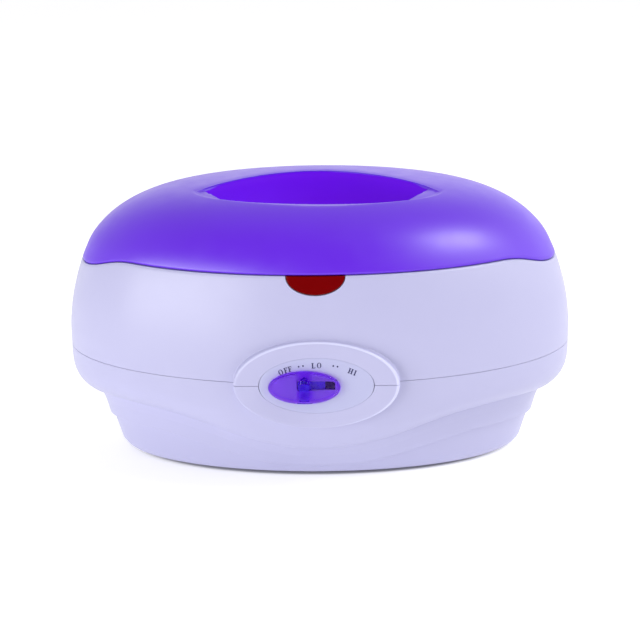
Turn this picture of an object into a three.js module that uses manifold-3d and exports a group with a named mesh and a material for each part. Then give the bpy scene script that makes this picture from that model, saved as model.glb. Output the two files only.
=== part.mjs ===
// Paraffin wax warmer: an oval electric bath with a lift-off lid.
// Millimetres. +X runs to the user's right along the long side, +Y to the back, +Z up.
// The origin is on the surface it stands on, under the middle of the housing.
import * as THREE from 'three';
import { mergeVertices } from 'three/addons/utils/BufferGeometryUtils.js';
import Module from 'manifold-3d';

const wasm = await Module();
wasm.setup();

// ---------------------------------------------------------------- driving dimensions
const HALF_WIDTH = 180;        // widest section, half of the long axis
const HALF_DEPTH = 110;        // widest section, half of the short axis
const SEAM_Z = 80;             // joint between the lower and upper housing
const SEAM_GAP = 0.3;
const LID_EDGE_Z = 152.4;      // lid's lower edge at the front and back
const DOME_HEIGHT = 45;        // lid's crown above that edge
const DOME_P = 4.35;
const DOME_K = 1.27;
const FLOOR_Z = 2.5;           // underside of the lower housing, on its feet
const WALL = 2.8;              // housing wall
const LID_WALL = 2.6;
const GAP = 0.3;               // clearance between pieces that touch
const RIM_Z = 156;             // deck that the bath hangs on
const SEGMENTS = 36;           // around the oval

const RECESS = { a: 85.2, back: 54, front: 29.5, y: -29, floor: 168 };   // finger recess in the lid
const PANEL = { a: 55.4, b: 30.2, face: -113, z: 80 };       // raised oval on the front
const INSERT = { a: 38.4, b: 19, thick: 2 };                 // control plate in the panel
const TRAVEL = 16;                                           // slider, OFF to HI
const SLIDER_X = -TRAVEL / 2;                                // slider at OFF
const STEM_Z = 80.1;
const TOOTH_MODULE = 1.5;
const PINION_TEETH = 9;
const PITCH_R = TOOTH_MODULE * PINION_TEETH / 2;             // 6.75
const SPINDLE_Z = 56;
const LENS = { a: 19.6, b: 12, z: 152.1 };                   // half-oval indicator window
const TANK = { top: [146.6, 83.1], low: [133, 70], floorZ: 72, wall: 1.6 };
const TIE = [[-78, -28], [78, -28], [-78, 28], [78, 28]];    // tie screws
const STUD = [[-36, -30], [36, -30], [-36, 30], [36, 30]];   // press plate studs
const FOOT = [[-92, -36], [92, -36], [-92, 36], [92, 36]];

// ---------------------------------------------------------------- profile curves
const clamp = (x, lo, hi) => Math.min(hi, Math.max(lo, x));
function table(rows, x) {
  if (x <= rows[0][0]) return rows[0][1];
  for (let i = 1; i < rows.length; i++) {
    if (x <= rows[i][0]) {
      const [x0, y0] = rows[i - 1], [x1, y1] = rows[i];
      return y0 + (y1 - y0) * (x - x0) / (x1 - x0);
    }
  }
  return rows[rows.length - 1][1];
}
// degrees away from the front or back centre line: 0 at front and back, 90 at both ends
const away = (phi) => Math.asin(Math.abs(Math.cos(phi))) * 180 / Math.PI;

const LID_EDGE = [[0, 152.4], [50, 152.4], [55, 151.7], [59, 150], [63.5, 147.4], [68, 145], [72.5, 143.4], [78, 142.4], [90, 142]];
const LEDGE_1 = [[0, 26], [5, 26.6], [10, 29], [19, 35], [28, 44], [38, 50], [52, 52], [69, 50.2], [80, 47.8], [90, 46.4]];
const LEDGE_2 = [[0, 9], [11, 10.5], [18, 14], [26, 20], [35, 26], [46, 30], [60, 30], [75, 28], [90, 25.5]];
const UPPER_HALF = [[80, 180], [93, 180], [102, 179.2], [111, 178], [120, 176.2], [128.6, 173.9], [137.5, 171.1], [146.3, 167.8], [152.4, 164.9]];

const lidEdge = (phi) => table(LID_EDGE, away(phi));
// half width of the outer skin at a height, upper housing and lid in one curve
function outerHalf(z) {
  if (z <= LID_EDGE_Z) return table(UPPER_HALF, z);
  const u = clamp((z - LID_EDGE_Z) / DOME_HEIGHT, 0, 1);
  return 164.9 * Math.pow(1 - Math.pow(u, DOME_K), 1 / DOME_P);
}
function domeZ(x, y) {
  const r = clamp(Math.hypot(x / 164.9, y / (164.9 * HALF_DEPTH / HALF_WIDTH)), 0, 1);
  return LID_EDGE_Z + DOME_HEIGHT * Math.pow(1 - Math.pow(r, DOME_P), 1 / DOME_K);
}
// how far the lower housing pulls in: 1 at the ends, 0 at the front and back centre
const endness = (phi) => clamp((table(LEDGE_1, away(phi)) - 26) / 24, 0, 1);
const mix = (a, b, t) => a + (b - a) * t;

// ---------------------------------------------------------------- solids
function ring(a, b, z, n = SEGMENTS) {
  const out = [];
  for (let i = 0; i < n; i++) {
    const phi = 2 * Math.PI * i / n;
    const A = typeof a === 'function' ? a(phi) : a;
    const B = typeof b === 'function' ? b(phi) : b;
    out.push(new THREE.Vector3(A * Math.cos(phi), B * Math.sin(phi), typeof z === 'function' ? z(phi) : z));
  }
  return out;
}
// Skin over a stack of rings. closed joins the last ring to the first, otherwise both ends are capped.
function loft(rings, closed = false) {
  const n = rings[0].length, m = rings.length, pos = [], idx = [];
  for (const r of rings) for (const p of r) pos.push(p.x, p.y, p.z);
  const rows = closed ? m : m - 1;
  for (let j = 0; j < rows; j++) {
    for (let i = 0; i < n; i++) {
      const a = j * n + i, b = j * n + (i + 1) % n, c = ((j + 1) % m) * n + (i + 1) % n, d = ((j + 1) % m) * n + i;
      idx.push(a, b, c, a, c, d);
    }
  }
  if (!closed) {
    for (const [j, flip] of [[0, true], [m - 1, false]]) {
      const c = new THREE.Vector3();
      for (const p of rings[j]) c.add(p);
      c.multiplyScalar(1 / n);
      const k = pos.length / 3;
      pos.push(c.x, c.y, c.z);
      for (let i = 0; i < n; i++) {
        const a = j * n + i, b = j * n + (i + 1) % n;
        if (flip) idx.push(a, k, b); else idx.push(a, b, k);
      }
    }
  }
  const g = new THREE.BufferGeometry();
  g.setAttribute('position', new THREE.Float32BufferAttribute(pos, 3));
  g.setIndex(idx);
  return outward(g);
}
function volume(g) {
  const p = g.getAttribute('position'), ix = g.getIndex();
  const a = new THREE.Vector3(), b = new THREE.Vector3(), c = new THREE.Vector3();
  let v = 0;
  const count = ix ? ix.count : p.count;
  for (let i = 0; i < count; i += 3) {
    a.fromBufferAttribute(p, ix ? ix.getX(i) : i);
    b.fromBufferAttribute(p, ix ? ix.getX(i + 1) : i + 1);
    c.fromBufferAttribute(p, ix ? ix.getX(i + 2) : i + 2);
    v += a.dot(b.cross(c)) / 6;
  }
  return v;
}
function outward(g) {
  if (volume(g) < 0) {
    const ix = g.getIndex();
    for (let i = 0; i < ix.count; i += 3) {
      const t = ix.getX(i);
      ix.setX(i, ix.getX(i + 1));
      ix.setX(i + 1, t);
    }
  }
  return g;
}
function solid(geometry) {
  let g = geometry.clone();
  for (const name of Object.keys(g.attributes)) if (name !== 'position') g.deleteAttribute(name);
  g = mergeVertices(g, 1e-4);
  g = outward(g);
  return new wasm.Manifold(new wasm.Mesh({
    numProp: 3,
    vertProperties: new Float32Array(g.getAttribute('position').array),
    triVerts: new Uint32Array(g.getIndex().array),
  }));
}
function geometryOf(s) {
  const m = s.getMesh();
  const g = new THREE.BufferGeometry();
  g.setAttribute('position', new THREE.Float32BufferAttribute(new Float32Array(m.vertProperties), 3));
  g.setIndex(Array.from(m.triVerts));
  return g;
}
const at = (g, x, y, z) => g.translate(x, y, z);
const box = (x0, x1, y0, y1, z0, z1) => at(new THREE.BoxGeometry(x1 - x0, y1 - y0, z1 - z0), (x0 + x1) / 2, (y0 + y1) / 2, (z0 + z1) / 2);
// upright, along Y and along X cylinders between two stations
const post = (x, y, r, z0, z1, n = 12) => at(new THREE.CylinderGeometry(r, r, z1 - z0, n).rotateX(Math.PI / 2), x, y, (z0 + z1) / 2);
const barrel = (x, z, r, y0, y1, n = 20) => at(new THREE.CylinderGeometry(r, r, y1 - y0, n), x, (y0 + y1) / 2, z);
const roller = (y, z, r, x0, x1, n = 16) => at(new THREE.CylinderGeometry(r, r, x1 - x0, n).rotateZ(Math.PI / 2), (x0 + x1) / 2, y, z);
// oval prism along Y
function ovalPrism(a, b, x, z, y0, y1, n = 36) {
  const s = new THREE.Shape();
  for (let i = 0; i < n; i++) {
    const t = 2 * Math.PI * i / n;
    if (i) s.lineTo(a * Math.cos(t), b * Math.sin(t)); else s.moveTo(a, 0);
  }
  s.closePath();
  const g = new THREE.ExtrudeGeometry(s, { depth: y1 - y0, bevelEnabled: false, curveSegments: 1 });
  return g.rotateX(Math.PI / 2).translate(x, y1, z);
}
// revolved about a line along Y: profile of [radius, y]
function turnedY(profile, x, z, n = 24) {
  const g = new THREE.LatheGeometry(profile.map(([r, y]) => new THREE.Vector2(r, y)), n);
  return g.translate(x, 0, z);
}
// revolved about a line along Z: profile of [radius, z]
function turnedZ(profile, x, y, n = 20) {
  const g = new THREE.LatheGeometry(profile.map(([r, z]) => new THREE.Vector2(r, z)), n);
  return g.rotateX(Math.PI / 2).translate(x, y, 0);
}
// stations fall evenly between the control points, so a tight bend gets as many as a long run
class StationCurve extends THREE.CatmullRomCurve3 {
  getPointAt(u, target) { return this.getPoint(u, target); }
  getTangentAt(u, target) { return this.getTangent(u, target); }
}
function tube(points, r, perSpan, sides = 6) {
  const curve = new StationCurve(points.map((p) => new THREE.Vector3(...p)), false, 'centripetal');
  const steps = perSpan * (points.length - 1);
  const s = new THREE.Shape();
  for (let i = 0; i < sides; i++) {
    const t = 2 * Math.PI * i / sides;
    if (i) s.lineTo(r * Math.cos(t), r * Math.sin(t)); else s.moveTo(r, 0);
  }
  s.closePath();
  return new THREE.ExtrudeGeometry(s, { steps, extrudePath: curve, bevelEnabled: false });
}

// ---------------------------------------------------------------- lid
function recessPoint(phi, scale, z) {
  const c = Math.cos(phi), s = Math.sin(phi);
  const m = s > 0 ? 2.3 : 1.45, b = s > 0 ? RECESS.back : RECESS.front;
  return new THREE.Vector3(RECESS.a * c * scale, RECESS.y + b * Math.sign(s) * Math.pow(Math.abs(s), m) * scale, z);
}
function recessRing(scale, zOf) {
  const out = [];
  for (let i = 0; i < SEGMENTS; i++) {
    const phi = 2 * Math.PI * i / SEGMENTS;
    const p = recessPoint(phi, scale, 0);
    p.z = typeof zOf === 'function' ? zOf(p, phi) : zOf;
    out.push(p);
  }
  return out;
}
function makeLid() {
  const k = HALF_DEPTH / HALF_WIDTH;
  const lipDrop = (phi) => (Math.sin(phi) < 0 ? mix(0.6, 2.6, -Math.sin(phi)) : 0.6);
  const byHeight = (f, inset) => {
    const z = (phi) => { const e = lidEdge(phi); return e + (158 - e) * f; };
    return ring((phi) => outerHalf(z(phi)) - inset, (phi) => outerHalf(z(phi)) * k - inset, z);
  };
  const atHeight = (z, inset, down = 0) => ring(outerHalf(z) - inset, outerHalf(z) * k - inset, z - down);
  const rimHeight = (p, phi) => domeZ(p.x, p.y) - lipDrop(phi);
  const rows = [];
  // basin, floor outwards
  rows.push(recessRing(0.34, RECESS.floor));
  rows.push(recessRing(0.62, RECESS.floor + 1.8));
  rows.push(recessRing(0.82, RECESS.floor + 7));
  rows.push(recessRing(0.93, RECESS.floor + 17));
  rows.push(recessRing(0.975, (p, phi) => rimHeight(p, phi) - 3));
  rows.push(recessRing(1.0, rimHeight));
  // crown, from the recess out to the wall
  const inner = recessRing(1.0, 0), outer = ring(outerHalf(190.5), outerHalf(190.5) * k, 0);
  for (const f of [0.14, 0.5]) {
    rows.push(inner.map((p, i) => {
      const q = outer[i];
      const x = mix(p.x, q.x, f), y = mix(p.y, q.y, f);
      return new THREE.Vector3(x, y, domeZ(x, y));
    }));
  }
  for (const z of [190.5, 186.5, 181.5, 175.5, 169, 163]) rows.push(atHeight(z, 0));
  for (const f of [1, 0.5, 0.16]) rows.push(byHeight(f, 0));
  rows.push(byHeight(0, 0.5));
  // lower edge and the inner skin back up
  rows.push(byHeight(0, LID_WALL));
  for (const f of [0.5, 1]) rows.push(byHeight(f, LID_WALL));
  for (const z of [169, 178, 185]) rows.push(atHeight(z, LID_WALL + 0.6, 1.2));
  const under = ring(outerHalf(189) - 3, outerHalf(189) * k - 3, 186.4);
  rows.push(under);
  const ridge = recessRing(1.06, (p, phi) => Math.min(domeZ(p.x, p.y) - 3.2, 191));
  rows.push(ridge);
  rows.push(recessRing(1.0, (p, phi) => domeZ(p.x, p.y) - 6.5));
  rows.push(recessRing(0.965, RECESS.floor + 13));
  rows.push(recessRing(0.86, RECESS.floor + 4.2));
  rows.push(recessRing(0.62, RECESS.floor - 1));
  rows.push(recessRing(0.34, RECESS.floor - 2.6));
  return loft(rows);
}

// ---------------------------------------------------------------- upper housing
function outerUpperBody() {
  const k = HALF_DEPTH / HALF_WIDTH, rows = [];
  for (const z of [SEAM_Z - 3, 93, 102, 111, 120, 128.6, 137.5, 146.3, LID_EDGE_Z + 0.4]) rows.push(ring(outerHalf(z), outerHalf(z) * k, z));
  return loft(rows);
}
function makeUpperHousing() {
  const k = HALF_DEPTH / HALF_WIDTH;
  const base = SEAM_Z + SEAM_GAP / 2;
  const rows = [];
  const wall = (z, inset) => ring(outerHalf(z) - inset, outerHalf(z) * k - inset, z);
  const step = (inset, drop) => ring((phi) => outerHalf(lidEdge(phi)) - inset, (phi) => outerHalf(lidEdge(phi)) * k - inset, (phi) => lidEdge(phi) - drop);
  rows.push(wall(base, 0));
  for (const z of [93, 102, 111, 120, 128.6]) rows.push(wall(z, 0));
  rows.push(ring((phi) => outerHalf(mix(128.6, lidEdge(phi), 0.6)), (phi) => outerHalf(mix(128.6, lidEdge(phi), 0.6)) * k, (phi) => mix(128.6, lidEdge(phi), 0.6)));
  rows.push(step(0, GAP));
  rows.push(step(3.3, GAP));
  rows.push(ring(159.4, 159.4 * k - 1.1, RIM_Z));
  rows.push(ring(147.4, 83.9, RIM_Z));
  rows.push(ring(147.4, 83.9, RIM_Z - 5));
  rows.push(ring(150, 86.5, RIM_Z - 5));
  rows.push(ring(150.5, 87, RIM_Z - 2.6));
  rows.push(ring(156.2, 156.2 * k - 1.4, RIM_Z - 2.6));
  rows.push(ring(160.4, 160.4 * k - 1.8, 138));
  rows.push(wall(122, WALL + 2));
  rows.push(wall(108, WALL));
  rows.push(wall(SEAM_Z + 5, WALL));
  // groove for the lower housing's tongue
  rows.push(wall(SEAM_Z + 4.6, 1.3));
  rows.push(wall(base, 1.3));
  let s = solid(loft(rows, true));
  // raised panel, upper half
  const half = solid(box(-90, 90, -140, -60, base, 140));
  s = s.add(solid(panelBoss()).intersect(half));
  s = s.subtract(solid(panelPocket())).subtract(solid(panelWindow()));
  // indicator window: pocket for the lens, and an opening for the lamp's light behind it
  s = s.subtract(solid(lensPrism(GAP)).subtract(solid(box(-60, 60, -96.9, -60, 100, 170))));
  s = s.subtract(solid(box(-14, 14, -100, -90, 142, 149.4)));
  return s;
}
function panelBoss() {
  // flared side wall and a slightly raised rim round the face
  const rows = [], n = 36, P = PANEL;
  const e = (a, b, y) => {
    const out = [];
    for (let i = 0; i < n; i++) {
      const t = 2 * Math.PI * i / n;
      out.push(new THREE.Vector3(a * Math.cos(t), y, P.z + b * Math.sin(t)));
    }
    return out;
  };
  rows.push(e(P.a + 0.6, P.b + 0.6, -102.5));
  rows.push(e(P.a, P.b, P.face + 1));
  rows.push(e(P.a - 0.8, P.b - 0.8, P.face));
  return loft(rows);
}
const panelPocket = () => ovalPrism(INSERT.a + GAP + 0.1, INSERT.b + GAP + 0.1, 0, PANEL.z, PANEL.face - 3, PANEL.face + INSERT.thick + 0.3);
const panelWindow = () => ovalPrism(36.6, 17.6, 0, PANEL.z, PANEL.face - 1, -90, 24);
// half oval below its flat top edge
function lensPrism(grow) {
  const s = new THREE.Shape(), n = 20, a = LENS.a + grow, b = LENS.b + grow;
  s.moveTo(-a, grow);
  for (let i = 1; i < n; i++) {
    const t = Math.PI + Math.PI * i / n;
    s.lineTo(a * Math.cos(t), b * Math.sin(t));
  }
  s.lineTo(a, grow);
  s.closePath();
  const g = new THREE.ExtrudeGeometry(s, { depth: 20, bevelEnabled: false });
  return g.rotateX(Math.PI / 2).translate(0, -97.2 + (grow ? 0.3 : 0), LENS.z);
}

// ---------------------------------------------------------------- lower housing
function lowerInset(phi, z) {
  const w = endness(phi), z1 = table(LEDGE_1, away(phi)), z2 = table(LEDGE_2, away(phi));
  const dA = mix(21, 12, w), s1 = mix(1.5, 6.8, w), dB = mix(33, 24.2, w), s2 = mix(1, 3, w), dC = mix(37, 35, w);
  if (z >= z1) return dA * Math.pow((SEAM_Z - z) / (SEAM_Z - z1), mix(2.2, 3.6, w));
  if (z >= z2) return mix(dA + s1, dB, Math.pow((z1 - z) / (z1 - z2), 0.9));
  return mix(dB + s2, dC, clamp((z2 - z) / (z2 - FLOOR_Z - 3), 0, 1));
}
function makeLowerHousing() {
  const top = SEAM_Z - SEAM_GAP / 2;
  const rows = [];
  const row = (zOf, extra = 0) => ring((phi) => HALF_WIDTH - lowerInset(phi, zOf(phi)) - extra, (phi) => HALF_DEPTH - lowerInset(phi, zOf(phi)) - extra, zOf);
  const z1 = (phi) => table(LEDGE_1, away(phi)), z2 = (phi) => table(LEDGE_2, away(phi));
  // outer skin, top down
  rows.push(row(() => top));
  for (const f of [0.3, 0.5, 0.66, 0.8, 0.91, 1]) rows.push(row((phi) => mix(SEAM_Z, z1(phi) + 0.001, f)));
  rows.push(ring((phi) => HALF_WIDTH - lowerInset(phi, z1(phi) - 0.01), (phi) => HALF_DEPTH - lowerInset(phi, z1(phi) - 0.01), (phi) => z1(phi) - mix(0.5, 1.4, endness(phi))));
  for (const f of [0.5, 1]) rows.push(row((phi) => mix(z1(phi) - 1.5, z2(phi) + 0.001, f)));
  rows.push(ring((phi) => HALF_WIDTH - lowerInset(phi, z2(phi) - 0.01), (phi) => HALF_DEPTH - lowerInset(phi, z2(phi) - 0.01), (phi) => z2(phi) - mix(0.4, 0.9, endness(phi))));
  rows.push(ring((phi) => HALF_WIDTH - mix(35, 33.2, endness(phi)), (phi) => HALF_DEPTH - mix(35, 33.2, endness(phi)), () => 7.4));
  rows.push(ring(HALF_WIDTH - 35.9, HALF_DEPTH - 35.9, 4));
  rows.push(ring(HALF_WIDTH - 38, HALF_DEPTH - 38, FLOOR_Z));
  // underside and the inner skin back up
  rows.push(ring(HALF_WIDTH - 100, HALF_DEPTH - 70, FLOOR_Z));
  rows.push(ring(2, 2, FLOOR_Z));
  rows.push(ring(2, 2, FLOOR_Z + 3));
  rows.push(ring(HALF_WIDTH - 100, HALF_DEPTH - 70, FLOOR_Z + 3));
  rows.push(ring(HALF_WIDTH - 44, HALF_DEPTH - 44, FLOOR_Z + 3));
  const inner = (zOf) => ring((phi) => HALF_WIDTH - innerInset(phi, zOf(phi)), (phi) => HALF_DEPTH - innerInset(phi, zOf(phi)), zOf);
  rows.push(inner((phi) => mix(FLOOR_Z, z2(phi), 0.75) + 3));
  rows.push(inner((phi) => mix(z2(phi), z1(phi), 0.4) + 3));
  rows.push(inner((phi) => z1(phi) + 3));
  rows.push(inner((phi) => mix(z1(phi), SEAM_Z, 0.45)));
  rows.push(ring(HALF_WIDTH - WALL, HALF_DEPTH - WALL, SEAM_Z - 6));
  rows.push(ring(HALF_WIDTH - WALL, HALF_DEPTH - WALL, SEAM_Z + 4.1));
  // tongue
  rows.push(ring(HALF_WIDTH - 1.7, HALF_DEPTH - 1.7, SEAM_Z + 4.1));
  rows.push(ring(HALF_WIDTH - 1.7, HALF_DEPTH - 1.7, top));
  return rows;
}
// the inner skin keeps a wall's thickness behind both the skin and the ledges
function innerInset(phi, z) {
  let d = 0;
  for (const dz of [-3, 0, 3]) d = Math.max(d, lowerInset(phi, clamp(z + dz, FLOOR_Z + 3, SEAM_Z)));
  return d + WALL;
}
function lowerHousing() {
  const rows = makeLowerHousing();
  let s = solid(loft(rows, true));
  // the middle of the floor, which the ring skin leaves open
  s = s.add(solid(post(0, 0, 8, FLOOR_Z, FLOOR_Z + 3, 12)));
  // raised panel, lower half
  s = s.add(solid(panelBoss()).intersect(solid(box(-90, 90, -140, -60, 20, SEAM_Z - SEAM_GAP / 2))));
  // towers that carry the tank's tie screws
  for (const [x, y] of TIE) s = s.add(solid(post(x, y, 5.6, FLOOR_Z + 0.5, 40, 14)));
  // pad for the cable gland, and the shelf for the terminal block
  s = s.add(solid(barrel(0, 58, 12.8, 101.5, 108, 24)));
  s = s.add(solid(box(-18, 18, 78, 97.8, 40.4, 43)));
  for (const x of [-17.8, 15.6]) s = s.add(solid(gusset(x)));
  // cuts: the tongue stops at the panel, and a hollow clears the pinion
  s = s.subtract(solid(box(-63, 63, -130, -98, SEAM_Z - SEAM_GAP / 2, SEAM_Z + 10)));
  s = s.subtract(solid(box(-9.6, 9.6, -100.4, -85, 46.6, 66)));
  s = s.subtract(solid(panelPocket())).subtract(solid(panelWindow()));
  for (const [x, y] of TIE) s = s.subtract(solid(post(x, y, 3.9, -2, 37, 12))).subtract(solid(post(x, y, 1.95, 30, 50, 10)));
  for (const [x, y] of FOOT) s = s.subtract(solid(post(x, y, 8.5, -2, 3.7, 16)));
  s = s.subtract(solid(barrel(0, 58, 7.3, 90, 120, 20)));
  s = s.subtract(solid(barrel(0, 58, 10.4, 90, 104.6, 20)));
  s = s.subtract(solid(barrel(0, 58, 11.8, 108, 130, 24)));
  s = s.subtract(solid(post(0, 87, 1.6, 30, 60, 12)));
  return s;
}
function gusset(x) {
  const s = new THREE.Shape();
  s.moveTo(80, 40.6); s.lineTo(97.6, 40.6); s.lineTo(90, 32); s.closePath();
  const g = new THREE.ExtrudeGeometry(s, { depth: 2.2, bevelEnabled: false });   // y, z in the shape's plane
  return g.rotateY(Math.PI / 2).rotateX(Math.PI / 2).translate(x, 0, 0);
}

// ---------------------------------------------------------------- bath and what hangs on it
function makeTank() {
  const [at_, bt] = TANK.top, [al, bl] = TANK.low, w = TANK.wall, rows = [];
  rows.push(ring(60, 28, TANK.floorZ));
  rows.push(ring(al - 13, bl - 13, TANK.floorZ));
  rows.push(ring(al - 4, bl - 4, TANK.floorZ + 4));
  rows.push(ring(al, bl, TANK.floorZ + 13));
  rows.push(ring(at_, bt, 152));
  rows.push(ring(at_, bt, 157.8));
  rows.push(ring(152.4, 88.9, 157.8));
  rows.push(ring(153, 89.5, 158.6));
  rows.push(ring(152.4, 88.9, 159.4));
  rows.push(ring(at_ - 0.4, bt - 0.4, 159.4));
  rows.push(ring(at_ - w, bt - w, 158));
  rows.push(ring(al - w, bl - w, TANK.floorZ + 13.4));
  rows.push(ring(al - 5, bl - 5, TANK.floorZ + 5));
  rows.push(ring(al - 14, bl - 14, TANK.floorZ + w));
  rows.push(ring(60, 28, TANK.floorZ + w));
  let s = solid(loft(rows));
  for (const [x, y] of TIE) s = s.add(solid(post(x, y, 5, 41.6, TANK.floorZ + 0.6, 12)));
  for (const [x, y] of STUD) s = s.add(solid(post(x, y, 2, 57.2, TANK.floorZ + 0.6, 8)));
  s = s.add(solid(post(0, -47, 2, 64.4, TANK.floorZ + 0.6, 8)));
  for (const [x, y] of TIE) s = s.subtract(solid(post(x, y, 1.95, 36, 64, 10)));
  return s;
}
function makeGasket() {
  return loft([ring(148, 84.5, RIM_Z + GAP), ring(152, 88.5, RIM_Z + GAP), ring(152, 88.5, 157.5), ring(148, 84.5, 157.5)], true);
}
function makeHeater() {
  const pts = [[-16, -57, 56], [-16, -57, 61], [-19, -55.6, 66.4]];
  const n = 20, a = 114, b = 54;
  for (let i = 0; i <= n; i++) {
    const phi = -Math.PI / 2 - 0.26 - (2 * Math.PI - 0.52) * i / n;
    pts.push([a * Math.cos(phi), b * Math.sin(phi), 68.2]);
  }
  pts.push([19, -55.6, 66.4], [16, -57, 61], [16, -57, 56]);
  return tube(pts, 3.1, 2, 6);
}
function makePressPlate() {
  let s = solid(loft([ring(121, 61, 63.4), ring(121, 61, 64.8)]));
  s = s.subtract(solid(box(-33, 33, -90, -38, 50, 80)));
  for (const [x, y] of TIE) s = s.subtract(solid(post(x, y, 5.7, 50, 80, 12)));
  for (const [x, y] of STUD) s = s.subtract(solid(post(x, y, 2.5, 50, 80, 8)));
  return s;
}
function makeNut(x, y, z0, h = 3.2) {
  return solid(post(x, y, 4, z0, z0 + h, 6)).subtract(solid(post(x, y, 2.5, z0 - 2, z0 + h + 2, 8)));
}
function makeShield() {
  let s = solid(loft([ring(122, 58, 40.3), ring(126, 62, 44), ring(127, 63, 51), ring(126, 62, 51), ring(125, 61, 44.4), ring(121.4, 57.4, 41.3), ring(2, 2, 41.3), ring(2, 2, 40.3)], true));
  s = s.add(solid(post(0, 0, 6, 40.3, 41.3, 10)));
  for (const [x, y] of TIE) s = s.subtract(solid(post(x, y, 1.95, 30, 60, 10)));
  return s;
}
function makePad() {
  let s = solid(loft([ring(113, 49, 41.6), ring(115, 51, 44), ring(115, 51, 52), ring(112, 48, 54)]));
  for (const [x, y] of TIE) s = s.subtract(solid(post(x, y, 5.6, 30, 60, 12)));
  return s;
}
function makeTieScrew(x, y) {
  return turnedZ([[0, 33.6], [2.2, 33.6], [3.4, 34.6], [3.4, 36.7], [1.6, 36.7], [1.6, 61], [0.9, 62], [0, 62]], x, y, 8);
}
function makeFoot(x, y) {
  return turnedZ([[0, 0], [6.8, 0], [7.6, 0.8], [8, 3.4], [0, 3.4]], x, y, 12);
}

// ---------------------------------------------------------------- controls
function makeInsert() {
  let s = solid(ovalPrism(INSERT.a, INSERT.b, 0, PANEL.z, PANEL.face, PANEL.face + INSERT.thick));
  for (const x of [-28.2, 28.2]) {
    s = s.add(solid(barrel(x, PANEL.z + 1, 2.5, PANEL.face + INSERT.thick - 0.5, -106, 16)));
    s = s.subtract(solid(barrel(x, PANEL.z + 1, 1.35, PANEL.face + INSERT.thick - 0.2, -100, 12)));
  }
  return s.subtract(solid(box(-12.8, 12.8, -120, -105, STEM_Z - 3.1, STEM_Z + 3.1)));
}
function makeKnob() {
  const n = 32, rows = [], cx = SLIDER_X, cz = 79.6, inner = 5.3;
  const e = (a, b, y) => {
    const out = [];
    for (let i = 0; i < n; i++) {
      const t = 2 * Math.PI * i / n;
      out.push(new THREE.Vector3(cx + a * Math.cos(t), y, cz + b * Math.sin(t)));
    }
    return out;
  };
  // back face, side, rim, shallow dish
  rows.push(e(23.2, 10.5, -113.5));
  rows.push(e(24.1, 11.4, -114.1));
  rows.push(e(24.1, 11.4, -116.2));
  rows.push(e(23.1, 10.4, -117));
  rows.push(e(21.9, 9.4, -116.5));
  rows.push(e(12, 5, -116.1));
  let s = solid(loft(rows));
  // hollow behind, on both sides of a solid block under the rib
  s = s.subtract(solid(loft([e(22.3, 9.6, -112), e(22.3, 9.6, -114.8)])).subtract(solid(box(cx - inner, cx + inner, -130, -100, 60, 100))));
  // grip rib with its pointed top
  const r = new THREE.Shape();
  r.moveTo(-3.4, -8.4); r.lineTo(3.4, -8.4); r.lineTo(3.4, 4.6); r.lineTo(0, 8.6); r.lineTo(-3.4, 4.6); r.closePath();
  const rib = new THREE.ExtrudeGeometry(r, { depth: 6.2, bevelEnabled: false }).rotateX(Math.PI / 2).translate(cx, -115.4, cz);
  s = s.add(solid(rib));
  // pocket at the back for the carriage's stem
  return s.subtract(solid(box(cx - 3.2, cx + 3.2, -117.3, -113, STEM_Z - 2.4, STEM_Z + 2.4)));
}
function rackTooth(x) {
  const t = TOOTH_MODULE, half = Math.PI * t / 4 - 0.3, add = 1.15, ded = 1.75, k = Math.tan(20 * Math.PI / 180);
  const zp = SPINDLE_Z + PITCH_R;
  const s = new THREE.Shape();
  s.moveTo(x - half + k * add, zp - add);
  s.lineTo(x + half - k * add, zp - add);
  s.lineTo(x + half + k * (ded + 0.3), zp + ded + 0.3);
  s.lineTo(x - half - k * (ded + 0.3), zp + ded + 0.3);
  s.closePath();
  return new THREE.ExtrudeGeometry(s, { depth: 4.6, bevelEnabled: false }).rotateX(Math.PI / 2).translate(0, -93.8, 0);
}
function makeCarriage() {
  const cx = SLIDER_X, pitch = Math.PI * TOOTH_MODULE;
  let s = solid(box(cx - 14, cx + 14, -110.4, -105.4, 72.3, 89.7));
  s = s.add(solid(box(cx - 4.4, cx + 4.4, -113.2, -110, STEM_Z - 2.8, STEM_Z + 2.8)));   // through the slot
  s = s.add(solid(box(cx - 2.8, cx + 2.8, -117, -113, STEM_Z - 2, STEM_Z + 2)));   // stem in the knob
  s = s.add(solid(box(cx - 9, cx + 9, -106, -98, 75.6, 86.4)));               // neck
  s = s.add(solid(box(cx - 10, cx + 10, -98.4, -93.8, 66, 86)));              // back plate
  const zr = SPINDLE_Z + PITCH_R + 1.75;
  s = s.add(solid(box(cx - 17.6, cx + 17.6, -98.4, -93.8, zr, zr + 3)));      // rack bar
  // a tooth stands over every gap of the pinion; the rack's phase is set with the slider at OFF
  for (let i = -6; i <= 6; i++) {
    const x = rackPhase + i * pitch;
    if (x > cx - 16 && x < cx + 16) s = s.add(solid(rackTooth(x)));
  }
  return s;
}
const rackPhase = Math.PI * TOOTH_MODULE / 2;
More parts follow.
